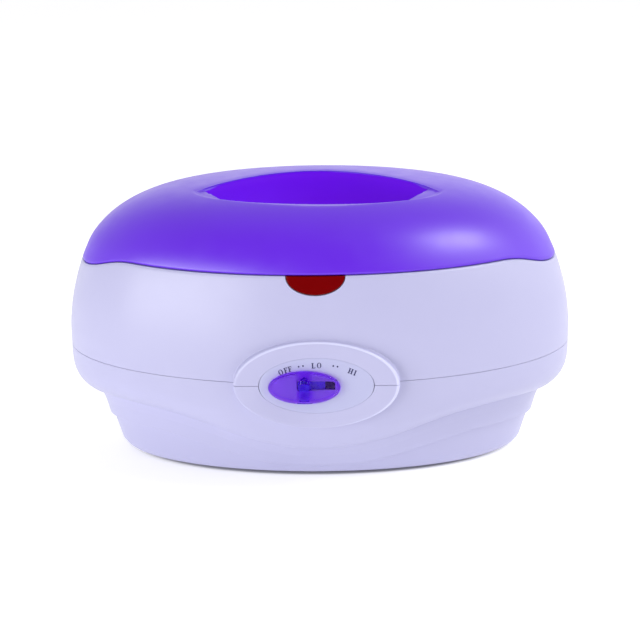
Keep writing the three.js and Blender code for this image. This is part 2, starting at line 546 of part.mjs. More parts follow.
function makePinion() {
  // involute flanks off the base circle, short teeth
  const rp = PITCH_R, alpha = 20 * Math.PI / 180, rb = rp * Math.cos(alpha), ra = rp + 1.15, rf = rp - 1.75;
  const inv = (a) => Math.tan(a) - a;
  const halfAngle = (Math.PI * TOOTH_MODULE / 4 - 0.3) / rp;
  const shape = new THREE.Shape();
  let first = true;
  const put = (r, t) => { const x = r * Math.sin(t), y = r * Math.cos(t); if (first) { shape.moveTo(x, y); first = false; } else shape.lineTo(x, y); };
  for (let i = 0; i < PINION_TEETH; i++) {
    const c = 2 * Math.PI * i / PINION_TEETH;
    const at_ = (r) => { const a = Math.acos(Math.min(1, rb / Math.max(r, rb))); return halfAngle + inv(alpha) - inv(a); };
    const radii = [Math.max(rb, rf), rp - 0.1, rp + 0.6, ra];
    put(rf, c - at_(rb) - 0.02);
    for (const r of radii) put(r, c - at_(r));
    for (const r of radii.slice().reverse()) put(r, c + at_(r));
    put(rf, c + at_(rb) + 0.02);
  }
  shape.closePath();
  const g = new THREE.ExtrudeGeometry(shape, { depth: 4.2, bevelEnabled: false }).rotateX(Math.PI / 2).translate(0, -94, SPINDLE_Z);
  return solid(g).subtract(solid(barrel(0, SPINDLE_Z, 2.85, -110, -80, 12)));
}
function makeGuide() {
  let s = solid(box(-25.2, 25.2, -110.7, -103.4, 69.6, 92.4));
  s = s.subtract(solid(box(-23.3, 23.3, -112, -105, 71.9, 90.1)));
  s = s.subtract(solid(box(-18.6, 18.6, -106, -100, 75.2, 86.8)));
  for (const m of [-1, 1]) {
    s = s.add(solid(m < 0 ? box(-32.4, -25, -105.6, -103.4, 76.5, 85.5) : box(25, 32.4, -105.6, -103.4, 76.5, 85.5)));
    s = s.subtract(solid(barrel(m * 28.2, PANEL.z + 1, 1.4, -110, -100, 12)));
  }
  return s;
}
const makeGuideScrew = (x) => turnedY([[0, -109.6], [1.0, -109.6], [1.0, -103.1], [2.4, -103.1], [2.4, -101.6], [0, -101.4]], x, PANEL.z + 1, 8);

// ---------------------------------------------------------------- thermostat, lamp, wiring
function makeThermostatBody() {
  let s = solid(box(-13, 13, -91, -75.5, 46, 66));
  s = s.add(solid(barrel(0, SPINDLE_Z, 4.6, -93.2, -90.5, 16)));
  s = s.subtract(solid(barrel(0, SPINDLE_Z, 2.85, -100, -84, 12)));
  return s;
}
function makeBracket() {
  let s = solid(box(-13, 13, -75.2, -74, 45, 71.7));
  s = s.add(solid(box(-9, 9, -75.2, -41.5, 70.4, 71.7)));
  return s.subtract(solid(post(0, -47, 2.4, 60, 80, 12)));
}
function makeLens() {
  return solid(lensPrism(0)).intersect(solid(outerUpperBody()));
}
function makeLampHolder() {
  let s = solid(box(-11, 11, -93.6, -86.4, 141.2, 149.4));
  s = s.subtract(solid(roller(-90.4, 145.5, 3.35, -20, 20, 14)));
  s = s.subtract(solid(box(-8, 8, -96, -90.4, 143.2, 147.8)));
  return s;
}
function makeGland() {
  return turnedY([[3.6, 101.2], [9.6, 101.2], [9.6, 104.2], [6.9, 104.2], [6.9, 108.3], [10.6, 108.3], [11, 109], [10.4, 111], [8, 112], [6.8, 121.2], [6, 122], [3.6, 122], [3.6, 101.2]], 0, 58, 20);
}
function makeTerminalBlock() {
  let s = solid(box(-15, 15, 80, 93, 43.3, 54));
  for (const x of [-10, 10]) s = s.subtract(solid(barrel(x, 49.2, 1.7, 70, 100, 12)));
  s = s.subtract(solid(barrel(5, 49.2, 1.7, 70, 82.8, 12)));
  s = s.subtract(solid(post(0, 87, 1.9, 40, 60, 12)));
  return s;
}
function makeFuseClip() {
  return solid(box(-4, 4, -28, -20, 57.6, 63.1)).subtract(solid(roller(-24, 60.4, 2.5, -10, 10, 16)));
}

// ---------------------------------------------------------------- the assembly
const finishes = {
  white: { color: 0xe6e4fa, roughness: 0.35, metalness: 0 },
  purple: { color: 0x6a2be6, roughness: 0.3, metalness: 0 },
  knob: { color: 0x5a2ae0, roughness: 0.15, metalness: 0 },
  red: { color: 0x7d0000, roughness: 0.12, metalness: 0 },
  aluminium: { color: 0xb9bbc0, roughness: 0.35, metalness: 1 },
  steel: { color: 0x9a9ca0, roughness: 0.35, metalness: 1 },
  brass: { color: 0xb89a4e, roughness: 0.35, metalness: 1 },
  rubber: { color: 0x2a2a2c, roughness: 0.8, metalness: 0 },
  silicone: { color: 0xd9d9dc, roughness: 0.7, metalness: 0 },
  phenolic: { color: 0x2b241f, roughness: 0.5, metalness: 0 },
  glass: { color: 0xf2c9a0, roughness: 0.05, metalness: 0 },
  wool: { color: 0xd8d2c0, roughness: 0.95, metalness: 0 },
  wireBlue: { color: 0x2a55b0, roughness: 0.5, metalness: 0 },
  wireBrown: { color: 0x6b3a20, roughness: 0.5, metalness: 0 },
  wireGreen: { color: 0x5f9a35, roughness: 0.5, metalness: 0 },
};
const product = new THREE.Group();
product.name = 'paraffin_wax_warmer';
const lidGroup = new THREE.Group(), housingGroup = new THREE.Group(), bathGroup = new THREE.Group();
const controlGroup = new THREE.Group(), electricGroup = new THREE.Group();
product.add(housingGroup, bathGroup, controlGroup, electricGroup, lidGroup);

function piece(group, name, geometry, finish) {
  const g = geometry.isBufferGeometry ? geometry : geometryOf(geometry);
  const mesh = new THREE.Mesh(g, new THREE.MeshStandardMaterial(finishes[finish]));
  mesh.name = name;
  group.add(mesh);
  return mesh;
}

piece(lidGroup, 'lid', makeLid(), 'purple');
piece(housingGroup, 'upper_housing', makeUpperHousing(), 'white');
piece(housingGroup, 'lower_housing', lowerHousing(), 'white');
piece(housingGroup, 'indicator_lens', makeLens(), 'red');
piece(housingGroup, 'cable_gland', makeGland(), 'white');

['front_left', 'front_right', 'rear_left', 'rear_right'].forEach((side, i) => {
  // each is made once at the origin and set in its place
  const foot = piece(housingGroup, `foot_${side}`, makeFoot(0, 0), 'rubber');
  foot.position.set(FOOT[i][0], FOOT[i][1], 0);
  const screw = piece(bathGroup, `tie_screw_${side}`, makeTieScrew(0, 0), 'steel');
  screw.position.set(TIE[i][0], TIE[i][1], 0);
  // the rear right nut also holds the earth tag, so it sits lower
  const nut = piece(bathGroup, `plate_nut_${side}`, makeNut(0, 0, 0), 'steel');
  nut.position.set(STUD[i][0], STUD[i][1], side === 'rear_right' ? 58.2 : 59.9);
});

piece(bathGroup, 'wax_tank', makeTank(), 'aluminium');
piece(bathGroup, 'tank_gasket', makeGasket(), 'silicone');
piece(bathGroup, 'heating_element', makeHeater(), 'steel');
piece(bathGroup, 'press_plate', makePressPlate(), 'aluminium');
piece(bathGroup, 'heat_shield', makeShield(), 'aluminium');
piece(bathGroup, 'insulation_pad', makePad(), 'wool');

piece(controlGroup, 'control_plate', makeInsert(), 'white');
piece(controlGroup, 'slider_knob', makeKnob(), 'knob');
piece(controlGroup, 'slider_carriage', makeCarriage(), 'white');
piece(controlGroup, 'slider_guide', makeGuide(), 'white');
piece(controlGroup, 'guide_screw_left', makeGuideScrew(-28.2), 'steel');
piece(controlGroup, 'guide_screw_right', makeGuideScrew(28.2), 'steel');

piece(electricGroup, 'thermostat_body', makeThermostatBody(), 'phenolic');
piece(electricGroup, 'thermostat_bracket', makeBracket(), 'steel');
piece(electricGroup, 'bracket_nut', makeNut(0, -47, 66.9), 'steel');
piece(electricGroup, 'thermostat_spindle', barrel(0, SPINDLE_Z, 2.5, -99, -84.6, 12), 'brass');
piece(electricGroup, 'spindle_pinion', makePinion(), 'brass');
piece(electricGroup, 'bimetal_blade', box(-4, 4, -90, -75.6, 66.5, 67.4), 'brass');
piece(electricGroup, 'thermostat_tab_left', box(-21, -13.3, -84, -79, 50, 51), 'brass');
piece(electricGroup, 'thermostat_tab_right', box(13.3, 21, -84, -79, 50, 51), 'brass');
piece(electricGroup, 'indicator_lamp', roller(-90.4, 145.5, 3, -8, 8, 12), 'glass');
piece(electricGroup, 'lamp_holder', makeLampHolder(), 'phenolic');
piece(electricGroup, 'terminal_block', makeTerminalBlock(), 'white');
piece(electricGroup, 'terminal_screw', turnedZ([[0, 38], [1.2, 38], [1.2, 54.3], [2.6, 54.3], [2.6, 56], [0, 56.2]], 0, 87, 8), 'steel');
piece(electricGroup, 'earth_tag', solid(box(32, 40, 25.8, 44, 61.7, 63.1)).subtract(solid(post(36, 30, 2.5, 50, 80, 8))), 'brass');
piece(electricGroup, 'thermal_fuse', roller(-24, 60.4, 2.1, -8, 8, 12), 'white');
piece(electricGroup, 'fuse_clip', makeFuseClip(), 'steel');

const WIRE = 1.1;
const wires = {
  live_wire: [[[-10, 83, 49.2], [-10, 80, 49.2], [-10, 78, 49.2], [-13, 75.5, 49.8], [-34, 73.5, 54], [-80, 68, 60], [-128, 44, 60], [-146, 0, 60], [-128, -44, 60], [-76, -70, 58], [-40, -78, 54], [-27, -81.5, 50.5], [-21.8, -81.5, 50.5]], 2, 'wireBrown'],
  neutral_wire: [[[10, 83, 49.2], [10, 80, 49.2], [10, 78, 49.2], [13, 75.5, 49.8], [34, 73.5, 54], [80, 68, 60], [128, 44, 60], [146, 0, 60], [130, -36, 59], [90, -55, 58.4], [60, -58, 58.2], [36, -58.6, 56.8], [24, -58.8, 54.8], [17.5, -57.6, 53.6], [16, -57, 54.2], [16, -57, 55.5]], 2, 'wireBlue'],
  thermostat_wire: [[[22, -81.5, 50.5], [25, -81.5, 50.7], [29, -77, 54], [29, -68, 60], [27, -56, 61.4], [24, -42, 61], [19, -30, 60.8], [13, -24, 60.4], [8.5, -24, 60.4]], 2, 'wireBrown'],
  heater_wire: [[[-8.5, -24, 60.4], [-14, -24, 60], [-25, -34, 58], [-28, -46, 56.5], [-23, -54, 54], [-18, -57, 53], [-16, -57, 54], [-16, -57, 55.5]], 2, 'wireBrown'],
  earth_wire: [[[5, 82.4, 49.2], [5, 80, 49.2], [5, 78, 49.2], [8, 74, 51], [18, 66, 56], [30, 56, 60.6], [35.6, 49, 61.8], [36, 46, 61.8], [36, 44.5, 61.8]], 2, 'wireGreen'],
  lamp_wire_left: [[[-8.5, -90.4, 145.5], [-14, -90.4, 145], [-20, -90, 136], [-24, -88, 110], [-25, -88, 80], [-24, -87, 62], [-22, -84, 54], [-18.5, -81.6, 52.8]], 2, 'wireBrown'],
  lamp_wire_right: [[[8.5, -90.4, 145.5], [14, -90.4, 145], [20, -90, 136], [25, -88, 110], [34, -86, 86], [40, -78, 72], [36, -68, 66.5], [30, -61, 65], [23.6, -57.6, 64.8]], 2, 'wireBlue'],
};
for (const [name, [points, perSpan, finish]] of Object.entries(wires)) piece(electricGroup, name, tube(points, WIRE, perSpan, 5), finish);

export default product;
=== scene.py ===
import math

import bmesh
import bpy
import numpy as np
from mathutils import Matrix, Vector


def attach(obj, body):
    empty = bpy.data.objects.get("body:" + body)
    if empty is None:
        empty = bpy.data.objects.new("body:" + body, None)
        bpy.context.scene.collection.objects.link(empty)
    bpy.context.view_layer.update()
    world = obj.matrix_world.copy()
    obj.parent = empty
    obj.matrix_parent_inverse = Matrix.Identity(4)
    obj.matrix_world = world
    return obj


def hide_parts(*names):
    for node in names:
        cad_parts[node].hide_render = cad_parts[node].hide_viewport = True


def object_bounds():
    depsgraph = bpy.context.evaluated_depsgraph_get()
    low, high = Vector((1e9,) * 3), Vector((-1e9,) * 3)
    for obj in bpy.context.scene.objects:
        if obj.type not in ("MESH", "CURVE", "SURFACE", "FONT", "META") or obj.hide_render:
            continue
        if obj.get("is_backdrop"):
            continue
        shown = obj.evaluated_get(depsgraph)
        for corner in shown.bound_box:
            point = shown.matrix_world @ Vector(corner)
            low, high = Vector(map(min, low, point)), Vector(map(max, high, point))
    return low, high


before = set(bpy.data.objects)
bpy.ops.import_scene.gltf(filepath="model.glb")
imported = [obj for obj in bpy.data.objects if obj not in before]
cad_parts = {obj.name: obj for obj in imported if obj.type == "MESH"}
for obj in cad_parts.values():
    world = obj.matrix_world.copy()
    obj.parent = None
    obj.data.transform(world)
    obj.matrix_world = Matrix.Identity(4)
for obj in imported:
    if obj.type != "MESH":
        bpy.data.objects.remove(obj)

CAD_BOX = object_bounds()
MM = 0.001

# ------------------------------------------------------------------ driving sizes, mm (as in the construction)
HALF_WIDTH, HALF_DEPTH = 180.0, 110.0
K = HALF_DEPTH / HALF_WIDTH
SEAM_Z, SEAM_GAP = 80.0, 0.3
LID_EDGE_Z, DOME_HEIGHT, DOME_P, DOME_K = 152.4, 45.0, 4.35, 1.27
FLOOR_Z, WALL, LID_WALL, GAP, RIM_Z = 2.5, 2.8, 2.6, 0.3, 156.0
RECESS = dict(a=84.4, back=53.8, front=32.2, y=-28.2, floor=168.0)
PANEL = dict(a=55.4, b=30.2, face=-113.0, z=80.0)
INSERT = dict(a=38.4, b=19.0, thick=2.0)
TRAVEL, SLIDER_X, STEM_Z = 16.0, -8.0, 80.1
LENS = dict(a=19.6, b=12.0, z=152.1)
TIE = [(-78, -28), (78, -28), (-78, 28), (78, 28)]
STUD = [(-36, -30), (36, -30), (-36, 30), (36, 30)]
FOOT = [(-92, -36), (92, -36), (-92, 36), (92, 36)]


# ------------------------------------------------------------------ smooth curves through the construction's tables
def pchip(xs, ys):
    xs, ys = np.array(xs, float), np.array(ys, float)
    h, d = np.diff(xs), np.diff(ys) / np.diff(xs)
    m = np.zeros(len(xs))
    for i in range(1, len(xs) - 1):
        if d[i - 1] * d[i] > 0:
            w1, w2 = 2 * h[i] + h[i - 1], h[i] + 2 * h[i - 1]
            m[i] = (w1 + w2) / (w1 / d[i - 1] + w2 / d[i])
    m[0], m[-1] = d[0], d[-1]

    def f(x):
        x = np.clip(np.asarray(x, float), xs[0], xs[-1])
        i = np.clip(np.searchsorted(xs, x, side="right") - 1, 0, len(xs) - 2)
        t = (x - xs[i]) / h[i]
        return ((2 * t ** 3 - 3 * t ** 2 + 1) * ys[i] + (t ** 3 - 2 * t ** 2 + t) * h[i] * m[i]
                + (-2 * t ** 3 + 3 * t ** 2) * ys[i + 1] + (t ** 3 - t ** 2) * h[i] * m[i + 1])
    return f


def softened(f, lo, hi, sigma, step, mirror=True):
    """A table of f that has been run through a narrow Gaussian, so that curvature has no jumps."""
    xs = np.arange(lo, hi + step / 2, step)
    pad = int(4 * sigma / step)
    wide = np.arange(-pad, len(xs) + pad) * step + lo
    if mirror:
        w = np.where(wide < lo, 2 * lo - wide, np.where(wide > hi, 2 * hi - wide, wide))
        vals = f(w)
    else:
        vals = f(wide)
        s0, s1 = (vals[pad + 1] - vals[pad]), (vals[-pad - 1] - vals[-pad - 2])
        vals = np.where(wide < lo, vals[pad] + s0 * (wide - lo) / step, np.where(wide > hi, vals[-pad - 1] + s1 * (wide - hi) / step, vals))
    k = np.exp(-0.5 * (np.arange(-pad, pad + 1) * step / sigma) ** 2)
    ys = np.convolve(vals, k / k.sum(), mode="same")[pad:-pad]
    return lambda x: np.interp(x, xs, ys)


def away(th):
    """degrees away from the front or back centre line; th is measured from the front centre"""
    return np.degrees(np.arcsin(np.clip(np.abs(np.sin(th)), 0, 1)))


lid_edge_t = softened(pchip([0, 50, 55, 59, 63.5, 68, 72.5, 78, 90], [152.4, 152.4, 151.7, 150, 147.4, 145, 143.4, 142.4, 142]), 0, 90, 1.6, 0.25)
ledge1_t = softened(pchip([0, 5, 10, 19, 28, 38, 52, 69, 80, 90], [26, 26.6, 29, 35, 44, 50, 52, 50.2, 47.8, 46.4]), 0, 90, 2.2, 0.25)
ledge2_t = softened(pchip([0, 11, 18, 26, 35, 46, 60, 75, 90], [9, 10.5, 14, 20, 26, 30, 30, 28, 25.5]), 0, 90, 2.2, 0.25)
endness_t = softened(lambda a: np.clip((ledge1_t(a) - 26) / 24, 0, 1), 0, 90, 3.0, 0.25)


def lid_edge(th): return lid_edge_t(away(th))
def ledge1(th): return ledge1_t(away(th))
def ledge2(th): return ledge2_t(away(th))
def endness(th): return endness_t(away(th))
def mix(a, b, t): return a + (b - a) * t


def _half_raw(z):
    low = pchip([80, 93, 102, 111, 120, 128.6, 137.5, 146.3, 152.4], [180, 180, 179.2, 178, 176.2, 173.9, 171.1, 167.8, 164.9])
    u = np.clip((z - LID_EDGE_Z) / DOME_HEIGHT, 0, 1)
    return np.where(z <= LID_EDGE_Z, low(z), 164.9 * np.power(1 - np.power(u, DOME_K), 1 / DOME_P))


_half_low = softened(_half_raw, 80, 176, 2.4, 0.25, mirror=False)


def half(z):
    """half width of the outer skin, upper housing and lid in one curve"""
    z = np.asarray(z, float)
    w = np.clip((z - 166) / 8, 0, 1)
    w = w * w * (3 - 2 * w)
    return mix(_half_low(np.minimum(z, 175)), _half_raw(z), w)


def dome_z(x, y):
    r = np.clip(np.hypot(x / 164.9, y / (164.9 * K)), 0, 1)
    return LID_EDGE_Z + DOME_HEIGHT * np.power(1 - np.power(r, DOME_P), 1 / DOME_K)


def lower_inset_top(th, z):
    """seam down to the first ledge"""
    w, z1 = endness(th), ledge1(th)
    return mix(21, 12, w) * np.power(np.clip((SEAM_Z - z) / (SEAM_Z - z1), 0, 1), mix(2.2, 3.6, w))


# ------------------------------------------------------------------ mesh helpers
def link(obj):
    bpy.context.scene.collection.objects.link(obj)
    return obj


def mesh_object(name, verts, faces, smooth_angle=32.0):
    me = bpy.data.meshes.new(name)
    me.from_pydata([tuple(v) for v in (np.asarray(verts, float) * MM)], [], faces)
    me.validate(clean_customdata=False)
    bm = bmesh.new()
    bm.from_mesh(me)
    bmesh.ops.remove_doubles(bm, verts=bm.verts, dist=1e-7)
    bmesh.ops.recalc_face_normals(bm, faces=bm.faces)
    if bm.calc_volume(signed=True) < 0:
        bmesh.ops.reverse_faces(bm, faces=bm.faces)
    bm.to_mesh(me)
    bm.free()
    obj = link(bpy.data.objects.new(name, me))
    if smooth_angle is not None:
        shade(obj, smooth_angle)
    return obj


def shade(obj, angle=32.0):
    me = obj.data
    me.shade_smooth()
    me.set_sharp_from_angle(angle=math.radians(angle))


def apply_modifiers(obj):
    deps = bpy.context.evaluated_depsgraph_get()
    me = bpy.data.meshes.new_from_object(obj.evaluated_get(deps), preserve_all_data_layers=True, depsgraph=deps)
    old = obj.data
    obj.modifiers.clear()
    obj.data = me
    me.name = obj.name
    bpy.data.meshes.remove(old)
    return obj


def boolean(obj, cutters, op="DIFFERENCE", angle=32.0):
    for c in cutters:
        m = obj.modifiers.new("cut", "BOOLEAN")
        m.operation, m.solver, m.object = op, "MANIFOLD", c
    bpy.context.view_layer.update()
    before = len(obj.data.polygons)
    apply_modifiers(obj)
    if len(obj.data.polygons) == 0 or before == 0:
        raise RuntimeError(obj.name + ": a cut left nothing")
    for c in cutters:
        me = c.data
        bpy.data.objects.remove(c)
        bpy.data.meshes.remove(me)
    bm = bmesh.new()
    bm.from_mesh(obj.data)
    bmesh.ops.remove_doubles(bm, verts=bm.verts, dist=2e-7)
    bmesh.ops.dissolve_degenerate(bm, dist=1e-7, edges=bm.edges)
    bm.to_mesh(obj.data)
    bm.free()
    shade(obj, angle)
    return obj


def quads(a, b, c, d):
    """faces from four equal lists of vertex ids"""
    return [f for f in zip(a, b, c, d)]


def grid_faces(ids, wrap=True, skip=None):
    ids = np.asarray(ids)
    rows, cols = ids.shape
    out = []
    for j in range(rows - 1):
        for i in range(cols if wrap else cols - 1):
            k = (i + 1) % cols
            if skip is not None and skip(j, i):
                continue
            out.append((int(ids[j, i]), int(ids[j, k]), int(ids[j + 1, k]), int(ids[j + 1, i])))
    return out


class Mesh:
    def __init__(self):
        self.v, self.f, self.n = [], [], 0

    def add(self, pts):
        pts = np.asarray(pts, float).reshape(-1, 3)
        ids = np.arange(self.n, self.n + len(pts))
        self.v.append(pts)
        self.n += len(pts)
        return ids

    def faces(self, fs):
        self.f.extend([tuple(int(i) for i in f) for f in fs])

    def fan(self, ids, centre):
        c = int(self.add([centre])[0])
        n = len(ids)
        for i in range(n):
            self.f.append((int(ids[i]), int(ids[(i + 1) % n]), c))

    def object(self, name, angle=32.0):
        return mesh_object(name, np.concatenate(self.v), self.f, angle)


def loft_rows(name, rows, cap=(True, True), closed=False, angle=32.0):
    """rows: list of (n,3) arrays"""
    m = Mesh()
    ids = np.array([m.add(r) for r in rows])
    m.faces(grid_faces(np.vstack([ids, ids[:1]]) if closed else ids))
    if not closed:
        if cap[0]:
            m.fan(ids[0][::-1], rows[0].mean(0))
        if cap[1]:
            m.fan(ids[-1], rows[-1].mean(0))
    return m.object(name, angle)


def fillet(points, radii, arc=5, straight=1):
    """A polyline of (r, z) points with rounded corners. Each point may be a pair of arrays, one value a column.
    Gives a list of (r, z) in order. straight is the number of spans of each straight run, or a list of them."""
    P = [np.stack(np.broadcast_arrays(np.asarray(a, float), np.asarray(b, float))) for a, b in points]
    size = max(p.shape[-1] if p.ndim > 1 else 1 for p in P)
    P = [p if p.ndim > 1 else p[:, None] for p in P]
    P = [np.broadcast_to(p, (2, size)) for p in P]
    n = len(P)
    starts, ends, arcs = [None] * n, [None] * n, [None] * n
    starts[0] = ends[0] = P[0]
    starts[-1] = ends[-1] = P[-1]
    for i in range(1, n - 1):
        a, b, c = P[i - 1], P[i], P[i + 1]
        la, lc = np.linalg.norm(a - b, axis=0), np.linalg.norm(c - b, axis=0)
        ua, uc = (a - b) / np.maximum(la, 1e-9), (c - b) / np.maximum(lc, 1e-9)
        cosang = np.clip((ua * uc).sum(0), -1, 1)
        half_ang = np.arccos(cosang) / 2
        r = np.asarray(radii[i], float)
        t = np.minimum(r / np.maximum(np.tan(half_ang), 1e-3), 0.48 * np.minimum(la, lc))
        starts[i], ends[i] = b + ua * t, b + uc * t
        if np.any(r > 0):
            r_eff = t * np.tan(half_ang)
            centre = b + (ua + uc) / np.maximum(np.linalg.norm(ua + uc, axis=0), 1e-9) * (np.hypot(r_eff, t))
            v0, v1 = starts[i] - centre, ends[i] - centre
            pts = []
            for s in np.linspace(0, 1, arc + 1)[1:-1]:
                om = np.arccos(np.clip((v0 * v1).sum(0) / np.maximum(np.linalg.norm(v0, axis=0) * np.linalg.norm(v1, axis=0), 1e-12), -1, 1))
                so = np.maximum(np.sin(om), 1e-6)
                pts.append(centre + (np.sin((1 - s) * om) * v0 + np.sin(s * om) * v1) / so)
            arcs[i] = pts
    out = [P[0]]
    for i in range(1, n):
        spans = straight[i - 1] if isinstance(straight, (list, tuple)) else straight
        a, b = ends[i - 1], starts[i]
        for s in np.linspace(0, 1, spans + 1)[1:]:
            out.append(mix(a, b, s))
        if i < n - 1 and arcs[i] is not None:
            out.extend(arcs[i])
            out.append(ends[i])
    return out


def lathe(name, profile, centre, axis="Z", n=64, angle=32.0):
    """profile of (radius, along) in mm, closed on the axis or on itself"""
    m = Mesh()
    t = np.linspace(0, 2 * np.pi, n, endpoint=False)
    rows = []
    for r, h in profile:
        c, s = r * np.cos(t), r * np.sin(t)
        rows.append(np.stack([c, s, np.full(n, h)] if axis == "Z" else [c, np.full(n, h), s], 1) + np.array(centre))
    closed = np.hypot(profile[0][0] - profile[-1][0], profile[0][1] - profile[-1][1]) < 1e-6
    if closed:
        rows = rows[:-1]
    ids = np.array([m.add(r) for r in rows])
    m.faces(grid_faces(np.vstack([ids, ids[:1]]) if closed else ids))
    if not closed:
        m.fan(ids[0][::-1], rows[0].mean(0))
        m.fan(ids[-1], rows[-1].mean(0))
    return m.object(name, angle)


def box_cutter(x0, x1, y0, y1, z0, z1):
    v = [(x, y, z) for z in (z0, z1) for y in (y0, y1) for x in (x0, x1)]
    f = [(0, 2, 3, 1), (4, 5, 7, 6), (0, 1, 5, 4), (2, 6, 7, 3), (0, 4, 6, 2), (1, 3, 7, 5)]
    return mesh_object("cutter", v, f, None)


def oval_cutter(a, b, z, stations, n=192, x=0.0):
    """oval prism along Y. stations: (y, grow)"""
    t = np.linspace(0, 2 * np.pi, n, endpoint=False)
    rows = [np.stack([x + (a + g) * np.cos(t), np.full(n, y), z + (b + g) * np.sin(t)], 1) for y, g in stations]
    return loft_rows("cutter", rows, angle=None)


# ------------------------------------------------------------------ columns round the oval, th = 0 at the front centre
TH0 = math.asin(80.0 / HALF_WIDTH)
NC = 96                                    # columns across the panel
front = np.linspace(-TH0, TH0, NC + 1)
rest_n = 324
back = np.linspace(TH0, 2 * np.pi - TH0, rest_n + 1)[1:-1]
TH = np.concatenate([front, back])
COLS = len(TH)
IL, IR, IM = 0, NC, NC // 2


def on(a, b, z, th=None):
    th = TH if th is None else th
    a, b, z = np.broadcast_to(a, th.shape), np.broadcast_to(b, th.shape), np.broadcast_to(z, th.shape)
    return np.stack([a * np.sin(th), -b * np.cos(th), z], 1)


def panel_patch(m, edge_ids, body_y, sign):
    """The raised oval on the front, as rings that run in from the patch's border, which is a row of vertex ids
    from the right end of the seam round to the left end. sign is +1 above the seam and -1 below it.
    Returns the ids along the seam from left to right."""
    z_base = SEAM_Z + sign * SEAM_GAP / 2
    P = np.concatenate(m.v)
    B = P[edge_ids]
    ang = np.arctan2(np.abs(B[:, 2] - z_base) / PANEL["b"], B[:, 0] / PANEL["a"])
    ang[0], ang[-1] = 0.0, math.pi
    ct, st = np.cos(ang), np.sin(ang)
    at = lambda d: ((PANEL["a"] + d) * ct, z_base + sign * (PANEL["b"] + d) * st)
    face, flare = PANEL["face"], 0.05
    # where the flared wall meets the skin
    d = np.full(len(ang), 0.8)
    for _ in range(12):
        x, z = at(d)
        y = body_y(x, z)
        d = (y - face) * flare
    x, z = at(d)
    y_foot = body_y(x, z)
    wall = y_foot - face
    rho = np.minimum(1.9, wall * 0.46)      # rounding of the panel's edge
    foot = np.minimum(0.7, wall * 0.3)       # fillet at its foot
    rings = []
    # border to the end of the foot fillet, on the skin
    xe, ze = at(d + foot)
    n_out = 15
    for s in np.linspace(0, 1, n_out + 1)[1:]:
        s2 = 1 - (1 - s) ** 1.35
        X, Z = mix(B[:, 0], xe, s2), mix(B[:, 2], ze, s2)
        rings.append((X, body_y(X, Z), Z))
    ye = body_y(xe, ze)
    # foot fillet: quadratic curve from the skin to the wall
    dw, yw = d - foot * flare, y_foot - foot
    for s in np.linspace(0, 1, 7)[1:]:
        dd = (1 - s) ** 2 * (d + foot) + 2 * s * (1 - s) * d + s ** 2 * dw
        yy = (1 - s) ** 2 * ye + 2 * s * (1 - s) * y_foot + s ** 2 * yw
        X, Z = at(dd)
        rings.append((X, yy, Z))
    # wall up to the edge's rounding
    dt, yt = rho * flare, face + rho
    for s in np.linspace(0, 1, 4)[1:]:
        X, Z = at(mix(dw, dt, s))
        rings.append((X, mix(yw, yt, s), Z))
    # rounded edge
    for s in np.linspace(0, 1, 9)[1:]:
        a = s * math.pi / 2
        dd = -rho + (rho + dt) * np.cos(a)
        yy = face + rho * (1 - np.sin(a))
        X, Z = at(dd)
        rings.append((X, yy, Z))
    left = NC // 2 - 1 - len(rings)
    for s in np.linspace(1, 0, left + 2)[1:-1]:
        X, Z = (PANEL["a"] - rho) * ct * s, z_base + sign * (PANEL["b"] - rho) * st * s
        rings.append((X, np.full(len(ang), face), Z))
    ids = [np.asarray(edge_ids)]
    for X, Y, Z in rings:
        Z = np.array(Z)
        Z[0] = Z[-1] = z_base
        ids.append(m.add(np.stack([X, Y, Z], 1)))
    ids = np.array(ids)
    m.faces(grid_faces(ids, wrap=False))
    c = int(m.add([(0, face, z_base)])[0])
    last = ids[-1]
    m.faces([(int(last[i]), int(last[i + 1]), c) for i in range(len(last) - 1)])
    assert len(ids) == NC // 2
    right = [int(r[0]) for r in ids]        # from x = +80 in to the middle
    lft = [int(r[-1]) for r in ids]
    return lft + [c] + right[::-1]


# ------------------------------------------------------------------ upper housing
def upper_y(x, z):
    h = half(z)
    return -K * np.sqrt(np.maximum(h * h - x * x, 1.0))


